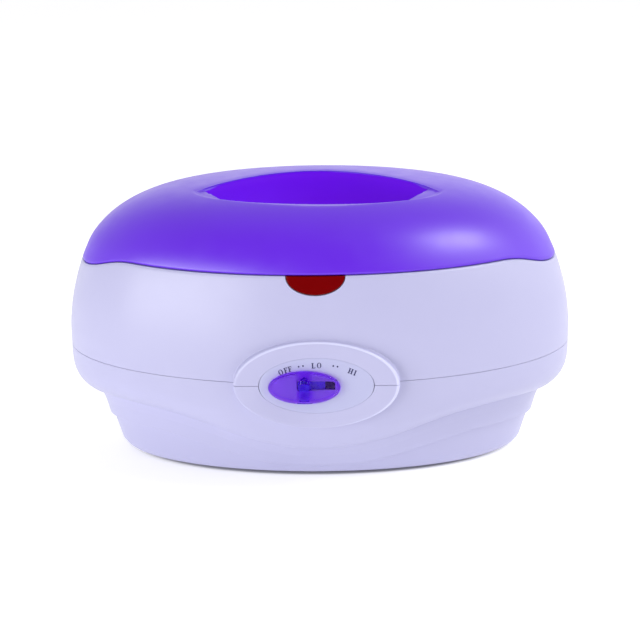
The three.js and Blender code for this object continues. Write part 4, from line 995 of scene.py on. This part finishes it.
WHITE = moulded("housing_plastic", srgb(175, 174, 208), srgb(178, 177, 210), rough=(0.34, 0.40), grain=1400, grain_bump=0.03)
PURPLE = moulded("lid_plastic", (0.100, 0.003, 0.62), (0.106, 0.004, 0.65), rough=(0.34, 0.40), grain=1400, grain_bump=0.035, spec=0.8)
PLATE = moulded("plate_plastic", srgb(172, 173, 208), srgb(175, 176, 210), rough=(0.4, 0.46), grain=1800, grain_bump=0.05)
GLAND = moulded("gland_plastic", srgb(200, 200, 236), srgb(204, 204, 238), rough=(0.45, 0.52), grain=1200, grain_bump=0.06)
RUBBER = moulded("foot_rubber", (0.035, 0.035, 0.038), (0.045, 0.045, 0.048), rough=(0.7, 0.8), grain=900, grain_bump=0.2)
ALU = moulded("bath_aluminium", (0.60, 0.61, 0.63), (0.64, 0.65, 0.67), rough=(0.28, 0.36), grain=1800, grain_bump=0.012, wave=20, metallic=1.0)
SHEET = moulded("sheet_aluminium", (0.62, 0.63, 0.65), (0.68, 0.69, 0.71), rough=(0.3, 0.42), grain=500, grain_bump=0.08, wave=30, metallic=1.0)
SILICONE = moulded("gasket_silicone", (0.60, 0.60, 0.62), (0.66, 0.66, 0.68), rough=(0.55, 0.65), grain=700, grain_bump=0.08)
SHEATH = moulded("heater_sheath", (0.30, 0.29, 0.28), (0.40, 0.36, 0.33), rough=(0.35, 0.5), grain=600, grain_bump=0.1, wave=40, metallic=1.0)
ZINC = moulded("zinc_steel", (0.52, 0.53, 0.55), (0.60, 0.61, 0.60), rough=(0.25, 0.4), grain=600, grain_bump=0.08, wave=90, metallic=1.0)
WOOL = moulded("insulation_wool", (0.62, 0.58, 0.46), (0.74, 0.70, 0.58), rough=(0.9, 0.98), grain=420, grain_bump=0.9, wave=60)
BRASS = moulded("brass", (0.60, 0.44, 0.17), (0.66, 0.50, 0.22), rough=(0.28, 0.4), grain=600, grain_bump=0.08, wave=90, metallic=1.0)
NYLON_VIOLET = moulded("slider_nylon", (0.05, 0.004, 0.50), (0.056, 0.005, 0.53), rough=(0.4, 0.5), grain=900, grain_bump=0.1)
NYLON = moulded("inner_nylon", (0.60, 0.59, 0.55), (0.66, 0.65, 0.60), rough=(0.45, 0.55), grain=900, grain_bump=0.1)
PHENOLIC = moulded("phenolic", (0.035, 0.027, 0.022), (0.05, 0.04, 0.03), rough=(0.4, 0.55), grain=700, grain_bump=0.12)
BLOCK = moulded("block_plastic", (0.58, 0.57, 0.52), (0.64, 0.63, 0.58), rough=(0.4, 0.5), grain=900, grain_bump=0.08)
FUSE = moulded("fuse_body", (0.68, 0.67, 0.63), (0.74, 0.73, 0.69), rough=(0.15, 0.25), grain=900, grain_bump=0.04)
WIRES = {"brown": moulded("wire_brown", (0.10, 0.035, 0.015), (0.13, 0.045, 0.02), rough=(0.4, 0.5), grain=1200, grain_bump=0.05),
         "blue": moulded("wire_blue", (0.02, 0.07, 0.30), (0.03, 0.09, 0.34), rough=(0.4, 0.5), grain=1200, grain_bump=0.05),
         "green": moulded("wire_green", (0.08, 0.22, 0.03), (0.10, 0.26, 0.04), rough=(0.4, 0.5), grain=1200, grain_bump=0.05)}
KNOB = tinted_clear("knob_plastic", (0.72, 0.68, 1.0), rough=0.05, ior=1.24, transmission=1.0, density=420.0, absorb=(0.76, 0.1, 1.0), spec=0.3)
KNOB.node_tree.nodes["Principled BSDF"].inputs["Emission Color"].default_value = (0.006, 0.0, 0.035, 1)      # painted glow: a faint violet emission lightens the knob and the dark slot seen through it
KNOB.node_tree.nodes["Principled BSDF"].inputs["Emission Strength"].default_value = 1.0
LENSM = tinted_clear("lens_plastic", (0.24, 0.0, 0.001), rough=0.12, ior=1.25, transmission=0.40, density=200.0, absorb=(0.7, 0.02, 0.02), spec=0.12)
LAMPG = tinted_clear("lamp_glass", (0.95, 0.80, 0.66), rough=0.02, ior=1.5)
INK = moulded("print_ink", srgb(34, 30, 84), srgb(38, 34, 90), rough=(0.45, 0.5), grain=1500, grain_bump=0.02)


def math_node(nt, op, a, b):
    n = nt.nodes.new("ShaderNodeMath")
    n.operation = op
    for k, v in enumerate((a, b)):
        if isinstance(v, (int, float)):
            n.inputs[k].default_value = v
        else:
            nt.links.new(v, n.inputs[k])
    return n.outputs["Value"]


def smooth(nt, src, p0, p1, lo=0.0, hi=1.0):
    r = nt.nodes.new("ShaderNodeMapRange")
    r.interpolation_type = "SMOOTHSTEP"
    r.inputs["From Min"].default_value, r.inputs["From Max"].default_value = p0, p1
    r.inputs["To Min"].default_value, r.inputs["To Max"].default_value = lo, hi
    nt.links.new(src, r.inputs["Value"])
    return r.outputs["Result"]


def oval_distance(nt, coord, centre, half_axes):
    """1 on an oval around a centre, 0 in its middle; an axis of 0 is left out"""
    off = nt.nodes.new("ShaderNodeVectorMath")
    off.operation = "SUBTRACT"
    off.inputs[1].default_value = centre
    nt.links.new(coord, off.inputs[0])
    sc = nt.nodes.new("ShaderNodeVectorMath")
    sc.operation = "MULTIPLY"
    sc.inputs[1].default_value = tuple(1 / h if h else 0 for h in half_axes)
    nt.links.new(off.outputs["Vector"], sc.inputs[0])
    ln = nt.nodes.new("ShaderNodeVectorMath")
    ln.operation = "LENGTH"
    nt.links.new(sc.outputs["Vector"], ln.inputs[0])
    return ln.outputs["Value"], sc.outputs["Vector"]


def object_xyz(nt):
    coord = nt.nodes.new("ShaderNodeTexCoord").outputs["Object"]
    sp = nt.nodes.new("ShaderNodeSeparateXYZ")
    nt.links.new(coord, sp.inputs["Vector"])
    return coord, sp.outputs["X"], sp.outputs["Y"], sp.outputs["Z"]


def paint_rim_highlight(mat):
    """painted highlight: the edge of the raised panel is painted a little lighter, most at its top and right, where
    light catches it
    """
    nt = mat.node_tree
    p = nt.nodes["Principled BSDF"]
    coord, x, y, z = object_xyz(nt)
    e, unit = oval_distance(nt, coord, (0, 0, PANEL["z"] * MM), (PANEL["a"] * MM, 0, PANEL["b"] * MM))
    ring = math_node(nt, "MULTIPLY", smooth(nt, e, 0.957, 0.975), smooth(nt, e, 0.995, 1.01, 1.0, 0.0))
    d = nt.nodes.new("ShaderNodeVectorMath")
    d.operation = "DOT_PRODUCT"
    d.inputs[1].default_value = (0.75, 0, 0.66)
    nt.links.new(unit, d.inputs[0])
    # painted highlight is strongest on the rim's top and right side
    side = smooth(nt, d.outputs["Value"], -0.85, 0.25)
    fac = math_node(nt, "MULTIPLY", math_node(nt, "MULTIPLY", ring, side), smooth(nt, y, -0.1085, -0.1100))
    old = p.inputs["Base Color"].links[0].from_socket
    mx = nt.nodes.new("ShaderNodeMix")
    mx.data_type = "RGBA"
    nt.links.new(old, mx.inputs["A"])
    # the lighter colour of the painted highlight
    mx.inputs["B"].default_value = (*srgb(203, 203, 234), 1)
    nt.links.new(fac, mx.inputs["Factor"])
    nt.links.new(mx.outputs["Result"], p.inputs["Base Color"])


def matte_recess_painted_glow(mat):
    """the finger recess has a matte finish with no gloss, and a painted glow: a faint violet emission that lightens it
    as light would
    """
    nt = mat.node_tree
    p = nt.nodes["Principled BSDF"]
    coord, x, y, z = object_xyz(nt)
    e, _ = oval_distance(nt, coord, (0, 0, 0), (0.165, 0.1008, 0))
    # height under the dome, whose top falls away with the fourth power or so of the distance
    fall = math_node(nt, "MULTIPLY", math_node(nt, "POWER", math_node(nt, "MULTIPLY", e, 1 / 0.62), 4.35), 0.0045)
    level = math_node(nt, "ADD", math_node(nt, "ADD", z, fall), smooth(nt, e, 0.42, 0.50, 0.0, 0.0012))
    inside = math_node(nt, "MULTIPLY", smooth(nt, e, 0.62, 0.70, 1.0, 0.0), smooth(nt, level, 0.1957, 0.1967, 1.0, 0.0))
    matte_painted_glow = nt.nodes.new("ShaderNodeBsdfPrincipled")
    nt.links.new(p.inputs["Base Color"].links[0].from_socket, matte_painted_glow.inputs["Base Color"])
    nt.links.new(p.inputs["Normal"].links[0].from_socket, matte_painted_glow.inputs["Normal"])
    old = p.inputs["Roughness"].links[0].from_socket
    nt.links.new(math_node(nt, "ADD", old, 0.4), matte_painted_glow.inputs["Roughness"])
    matte_painted_glow.inputs["Specular IOR Level"].default_value = 0.12
    # painted glow: this emission lightens the recess, standing in for light
    matte_painted_glow.inputs["Emission Color"].default_value = (0.042, 0.0, 0.125, 1)
    matte_painted_glow.inputs["Emission Strength"].default_value = 1.0
    both = nt.nodes.new("ShaderNodeMixShader")
    nt.links.new(inside, both.inputs["Fac"])
    nt.links.new(p.outputs["BSDF"], both.inputs[1])
    nt.links.new(matte_painted_glow.outputs["BSDF"], both.inputs[2])
    nt.links.new(both.outputs["Shader"], nt.nodes["Material Output"].inputs["Surface"])


paint_rim_highlight(WHITE)
matte_recess_painted_glow(PURPLE)


def dress(obj, mat):
    obj.data.materials.clear()
    obj.data.materials.append(mat)
    return obj


def stand_for(obj, mat, body, slot, *nodes):
    dress(obj, mat)
    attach(obj, body)
    if nodes:
        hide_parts(*nodes)
    return obj


# ------------------------------------------------------------------ camera first, then the pieces
def make_camera():
    cam = bpy.data.cameras.new("camera")
    obj = link(bpy.data.objects.new("camera", cam))
    yaw, pitch, roll = math.radians(1.3), math.radians(16.8), math.radians(0.8)
    dist, height = 1.200, 0.454
    pos = Vector((dist * math.sin(yaw), -dist * math.cos(yaw), height))
    yaw2 = yaw - math.atan(0.7 / 1725)
    fwd = Vector((-math.sin(yaw2) * math.cos(pitch), math.cos(yaw2) * math.cos(pitch), -math.sin(pitch)))
    right = fwd.cross(Vector((0, 0, 1))).normalized()
    up = right.cross(fwd)
    rot = Matrix((right, up, -fwd)).transposed().to_4x4()
    obj.matrix_world = Matrix.Translation(pos) @ rot @ Matrix.Rotation(-roll, 4, "Z")
    cam.sensor_width = 36.0
    cam.sensor_fit = "HORIZONTAL"
    cam.lens = 1725 * 36.0 / 640
    cam.clip_start, cam.clip_end = 0.05, 60.0
    bpy.context.scene.camera = obj
    return obj


CAMERA = make_camera()

lid = stand_for(build_lid(), PURPLE, "lid", "lid_plastic", "lid")
upper = stand_for(build_upper(), WHITE, "base_unit", "housing_plastic", "upper_housing")
lower = stand_for(build_lower(), WHITE, "base_unit", "housing_plastic", "lower_housing")
bath = stand_for(build_tank(), ALU, "base_unit", "bath_aluminium", "wax_tank")
plate = stand_for(build_plate(), PLATE, "base_unit", "plate_plastic", "control_plate")
knob = stand_for(build_knob(), KNOB, "temperature_slider", "knob_plastic", "slider_knob")
lens = stand_for(build_lens(), LENSM, "base_unit", "lens_plastic", "indicator_lens")
gland = stand_for(build_gland(), GLAND, "base_unit", "gland_plastic", "cable_gland")
for i, side in enumerate(["front_left", "front_right", "rear_left", "rear_right"]):
    stand_for(build_foot(i), RUBBER, "base_unit", "foot_rubber", "foot_" + side)

NODE_MATERIALS = {
    "tank_gasket": SILICONE, "heating_element": SHEATH, "press_plate": SHEET, "heat_shield": SHEET, "insulation_pad": WOOL,
    "slider_carriage": NYLON_VIOLET, "slider_guide": NYLON_VIOLET, "guide_screw_left": ZINC, "guide_screw_right": ZINC,
    "thermostat_body": PHENOLIC, "thermostat_bracket": ZINC, "bracket_nut": ZINC, "thermostat_spindle": BRASS, "spindle_pinion": BRASS,
    "bimetal_blade": BRASS, "thermostat_tab_left": BRASS, "thermostat_tab_right": BRASS, "indicator_lamp": LAMPG, "lamp_holder": PHENOLIC,
    "terminal_block": BLOCK, "terminal_screw": ZINC, "earth_tag": BRASS, "thermal_fuse": FUSE, "fuse_clip": ZINC,
    "live_wire": WIRES["brown"], "neutral_wire": WIRES["blue"], "thermostat_wire": WIRES["brown"], "heater_wire": WIRES["brown"],
    "earth_wire": WIRES["green"], "lamp_wire_left": WIRES["brown"], "lamp_wire_right": WIRES["blue"],
}
for i in ("front_left", "front_right", "rear_left", "rear_right"):
    NODE_MATERIALS["tie_screw_" + i] = ZINC
    NODE_MATERIALS["plate_nut_" + i] = ZINC
for name, mat in NODE_MATERIALS.items():
    dress(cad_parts[name], mat)


# ------------------------------------------------------------------ printed scale
def glyph_parts(ch):
    """Serif capitals as convex outlines in a box of height 1: (list of polygons, advance width)"""
    th, bar_t, s = 0.23, 0.085, 0.085          # thick stroke, middle bar, serif thickness
    x0, m = 0.2 - th / 2, 0.5
    bar = lambda xa, xb, ya, yb: [(xa, ya), (xb, ya), (xb, yb), (xa, yb)]
    if ch == "I":
        return [bar(x0, x0 + th, 0, 1), bar(0, 0.40, 0, s), bar(0, 0.40, 1 - s, 1)], 0.40
    if ch == "L":
        return [bar(x0, x0 + th, 0, 1), bar(0, 0.40, 1 - s, 1), bar(0, 0.66, 0, s + 0.01), [(0.49, 0.03), (0.66, 0.03), (0.69, 0.30), (0.65, 0.30)]], 0.69
    if ch == "F":
        return [bar(x0, x0 + th, 0, 1), bar(0, 0.42, 0, s), bar(0, 0.64, 1 - s - 0.01, 1), [(0.60, 0.70), (0.65, 0.70), (0.65, 0.99), (0.47, 0.99)],
                bar(0.2, 0.48, m - bar_t / 2, m + bar_t / 2), bar(0.44, 0.49, 0.35, 0.66)], 0.65
    if ch == "H":
        x1 = 0.68 - th / 2
        return [bar(x0, x0 + th, 0, 1), bar(x1, x1 + th, 0, 1), bar(0, 0.40, 0, s), bar(0, 0.40, 1 - s, 1), bar(0.48, 0.88, 0, s), bar(0.48, 0.88, 1 - s, 1),
                bar(0.2, 0.68, m - bar_t / 2, m + bar_t / 2)], 0.88
    raise ValueError(ch)


def print_mark(name, polys, x, z, tilt, size, thick=0.045):
    """thin raised ink on the plate's face"""
    c, s = math.cos(math.radians(tilt)), math.sin(math.radians(tilt))
    face = PANEL["face"]
    pieces = []
    for poly in polys:
        pts = [(x + (px * c - pz * s) * size, z + (px * s + pz * c) * size) for px, pz in poly]
        n = len(pts)
        v = [(px, face + 0.02, pz) for px, pz in pts] + [(px, face - thick, pz) for px, pz in pts]
        f = [tuple(range(n)), tuple(range(2 * n - 1, n - 1, -1))] + [(i, (i + 1) % n, n + (i + 1) % n, n + i) for i in range(n)]
        pieces.append(mesh_object(name, v, f, None))
    first = pieces[0]
    if len(pieces) > 1:
        boolean(first, pieces[1:], op="UNION")
    first.name = name
    return first


def ring_mark(name, x, z, tilt, size, thick=0.045):
    """the letter O: an upright oval ring, thick at its sides"""
    n = 48
    t = np.linspace(0, 2 * np.pi, n, endpoint=False)
    c, s = math.cos(math.radians(tilt)), math.sin(math.radians(tilt))
    face = PANEL["face"]

    def loop(a, b, y):
        px, pz = 0.40 + a * np.cos(t), 0.5 + b * np.sin(t)
        return np.stack([x + (px * c - pz * s) * size, np.full(n, y), z + (px * s + pz * c) * size], 1)
    rows = [loop(0.40, 0.52, face + 0.02), loop(0.40, 0.52, face - thick), loop(0.195, 0.445, face - thick), loop(0.195, 0.445, face + 0.02)]
    obj = loft_rows(name, rows, closed=True)
    return obj


def dot_mark(name, x, z, r=0.62, thick=0.045):
    n = 24
    t = np.linspace(0, 2 * np.pi, n, endpoint=False)
    face = PANEL["face"]
    rows = [np.stack([x + r * np.cos(t), np.full(n, y), z + r * np.sin(t)], 1) for y in (face + 0.02, face - thick)]
    return loft_rows(name, rows)


def unproject(px, py, y_plane):
    """the point of the plane Y = y_plane that a pixel of the 640 x 640 frame sees, in mm"""
    f = 1725.0
    mw = CAMERA.matrix_world
    d = mw.to_3x3() @ Vector(((px - 320.0) / f, -(py - 320.0) / f, -1.0))
    o = mw.translation
    k = (y_plane * MM - o.y) / d.y
    p = o + d * k
    return p.x / MM, p.z / MM


def letters():
    size = 3.75
    out = []
    # each word: letters with the centre of their box in the photograph's frame, and their tilt
    marks = [("off_o", "O", 280.7, 372.3, 20), ("off_f1", "F", 285.8, 370.4, 17), ("off_f2", "F", 289.9, 369.1, 14),
             ("lo_l", "L", 313.4, 365.8, 1), ("lo_o", "O", 319.1, 365.5, -1), ("hi_h", "H", 350.7, 371.2, -21), ("hi_i", "I", 355.1, 373.0, -22)]
    for name, ch, px, py, tilt in marks:
        x, z = unproject(px, py, PANEL["face"])
        w = 0.8 if ch == "O" else glyph_parts(ch)[1]
        c, s = math.cos(math.radians(tilt)), math.sin(math.radians(tilt))
        ox, oz = x - (w / 2 * c - 0.5 * s) * size, z - (w / 2 * s + 0.5 * c) * size
        obj = ring_mark("print_" + name, ox, oz, tilt, size) if ch == "O" else print_mark("print_" + name, glyph_parts(ch)[0], ox, oz, tilt, size)
        out.append(obj)
    for i, (px, py) in enumerate([(298.6, 366.7), (303.0, 366.0), (333.3, 366.0), (337.5, 366.7)]):
        x, z = unproject(px, py, PANEL["face"])
        out.append(dot_mark("print_dot_%d" % (i + 1), x, z, 0.60))
    for o in out:
        dress(o, INK)
        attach(o, "base_unit")


letters()


# ------------------------------------------------------------------ stage and light
def stage():
    paper = moulded("floor_paper", (0.70, 0.70, 0.705), (0.71, 0.71, 0.715), rough=(0.9, 0.95), grain=200, grain_bump=0.02)
    lit = paper.node_tree.nodes["Principled BSDF"]          # a back-lit sweep
    lit.inputs["Emission Color"].default_value = (1, 1, 1, 1)
    nt = paper.node_tree
    coord = nt.nodes.new("ShaderNodeTexCoord").outputs["Object"]
    e, _ = oval_distance(nt, coord, (0, 0, 0), (0.1425, 0.0745, 0))
    nt.links.new(smooth(nt, e, 0.93, 0.985, 0.0, 0.50), lit.inputs["Emission Strength"])      # painted contact shadow: no glow under the base, fading in towards its outline
    me = bpy.data.meshes.new("floor")
    s = 14.0
    me.from_pydata([(-s, -s, 0), (s, -s, 0), (s, s, 0), (-s, s, 0)], [], [(0, 1, 2, 3)])
    floor = link(bpy.data.objects.new("floor", me))
    floor.data.materials.append(paper)
    floor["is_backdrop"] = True


def area(name, loc, target, size_x, size_y, power, colour=(1, 1, 1)):
    li = bpy.data.lights.new(name, "AREA")
    li.shape, li.size, li.size_y, li.energy, li.color = "RECTANGLE", size_x, size_y, power, colour
    o = link(bpy.data.objects.new(name, li))
    d = Vector(target) - Vector(loc)
    o.matrix_world = Matrix.Translation(Vector(loc)) @ d.to_track_quat("-Z", "Y").to_matrix().to_4x4()
    return o


stage()
world = bpy.data.worlds.new("world")
bpy.context.scene.world = world
world.use_nodes = True
wt = world.node_tree
bg = wt.nodes["Background"]
# the room is a little dimmer in front of the warmer than above and behind it
direction = wt.nodes.new("ShaderNodeTexCoord").outputs["Generated"]
split = wt.nodes.new("ShaderNodeSeparateXYZ")
wt.links.new(direction, split.inputs["Vector"])
facing = wt.nodes.new("ShaderNodeMapRange")
facing.interpolation_type = "SMOOTHSTEP"
facing.inputs["From Min"].default_value, facing.inputs["From Max"].default_value = -0.9, 0.35
facing.inputs["To Min"].default_value, facing.inputs["To Max"].default_value = 0.22, 1.5
wt.links.new(split.outputs["Y"], facing.inputs["Value"])
# and dimmer again straight overhead
overhead = wt.nodes.new("ShaderNodeMapRange")
overhead.interpolation_type = "SMOOTHSTEP"
overhead.inputs["From Min"].default_value, overhead.inputs["From Max"].default_value = 0.30, 0.90
overhead.inputs["To Min"].default_value, overhead.inputs["To Max"].default_value = 1.0, 0.5
wt.links.new(split.outputs["Z"], overhead.inputs["Value"])
both = wt.nodes.new("ShaderNodeMath")
both.operation = "MULTIPLY"
wt.links.new(facing.outputs["Result"], both.inputs[0])
wt.links.new(overhead.outputs["Result"], both.inputs[1])
leftward = wt.nodes.new("ShaderNodeMapRange")
leftward.interpolation_type = "SMOOTHSTEP"
leftward.inputs["From Min"].default_value, leftward.inputs["From Max"].default_value = -0.95, 0.0
leftward.inputs["To Min"].default_value, leftward.inputs["To Max"].default_value = 0.52, 1.0
wt.links.new(split.outputs["X"], leftward.inputs["Value"])
total = wt.nodes.new("ShaderNodeMath")
total.operation = "MULTIPLY"
wt.links.new(both.outputs["Value"], total.inputs[0])
wt.links.new(leftward.outputs["Result"], total.inputs[1])
wt.links.new(total.outputs["Value"], bg.inputs["Strength"])
bg.inputs["Color"].default_value = (0.985, 0.985, 1.0, 1)
area("key_left", (-1.7, -1.5, 0.50), (-0.06, 0, 0.08), 2.0, 1.0, 36)
area("side_right", (1.20, -0.64, 0.76), (0.08, -0.05, 0.13), 1.3, 1.0, 5.4)
area("top_right", (0.93, -0.36, 1.14), (0.09, -0.07, 0.17), 0.45, 0.35, 7)
sc = bpy.context.scene
sc.view_settings.view_transform = "Standard"
sc.view_settings.look = "None"
sc.view_settings.exposure = 0.0
sc.view_settings.gamma = 1.0


def plain(b):
    try:
        return [[float(c) for c in p] for p in b]
    except TypeError:
        return [float(c) for c in b]


{"cad": plain(CAD_BOX), "visual": plain(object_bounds())}
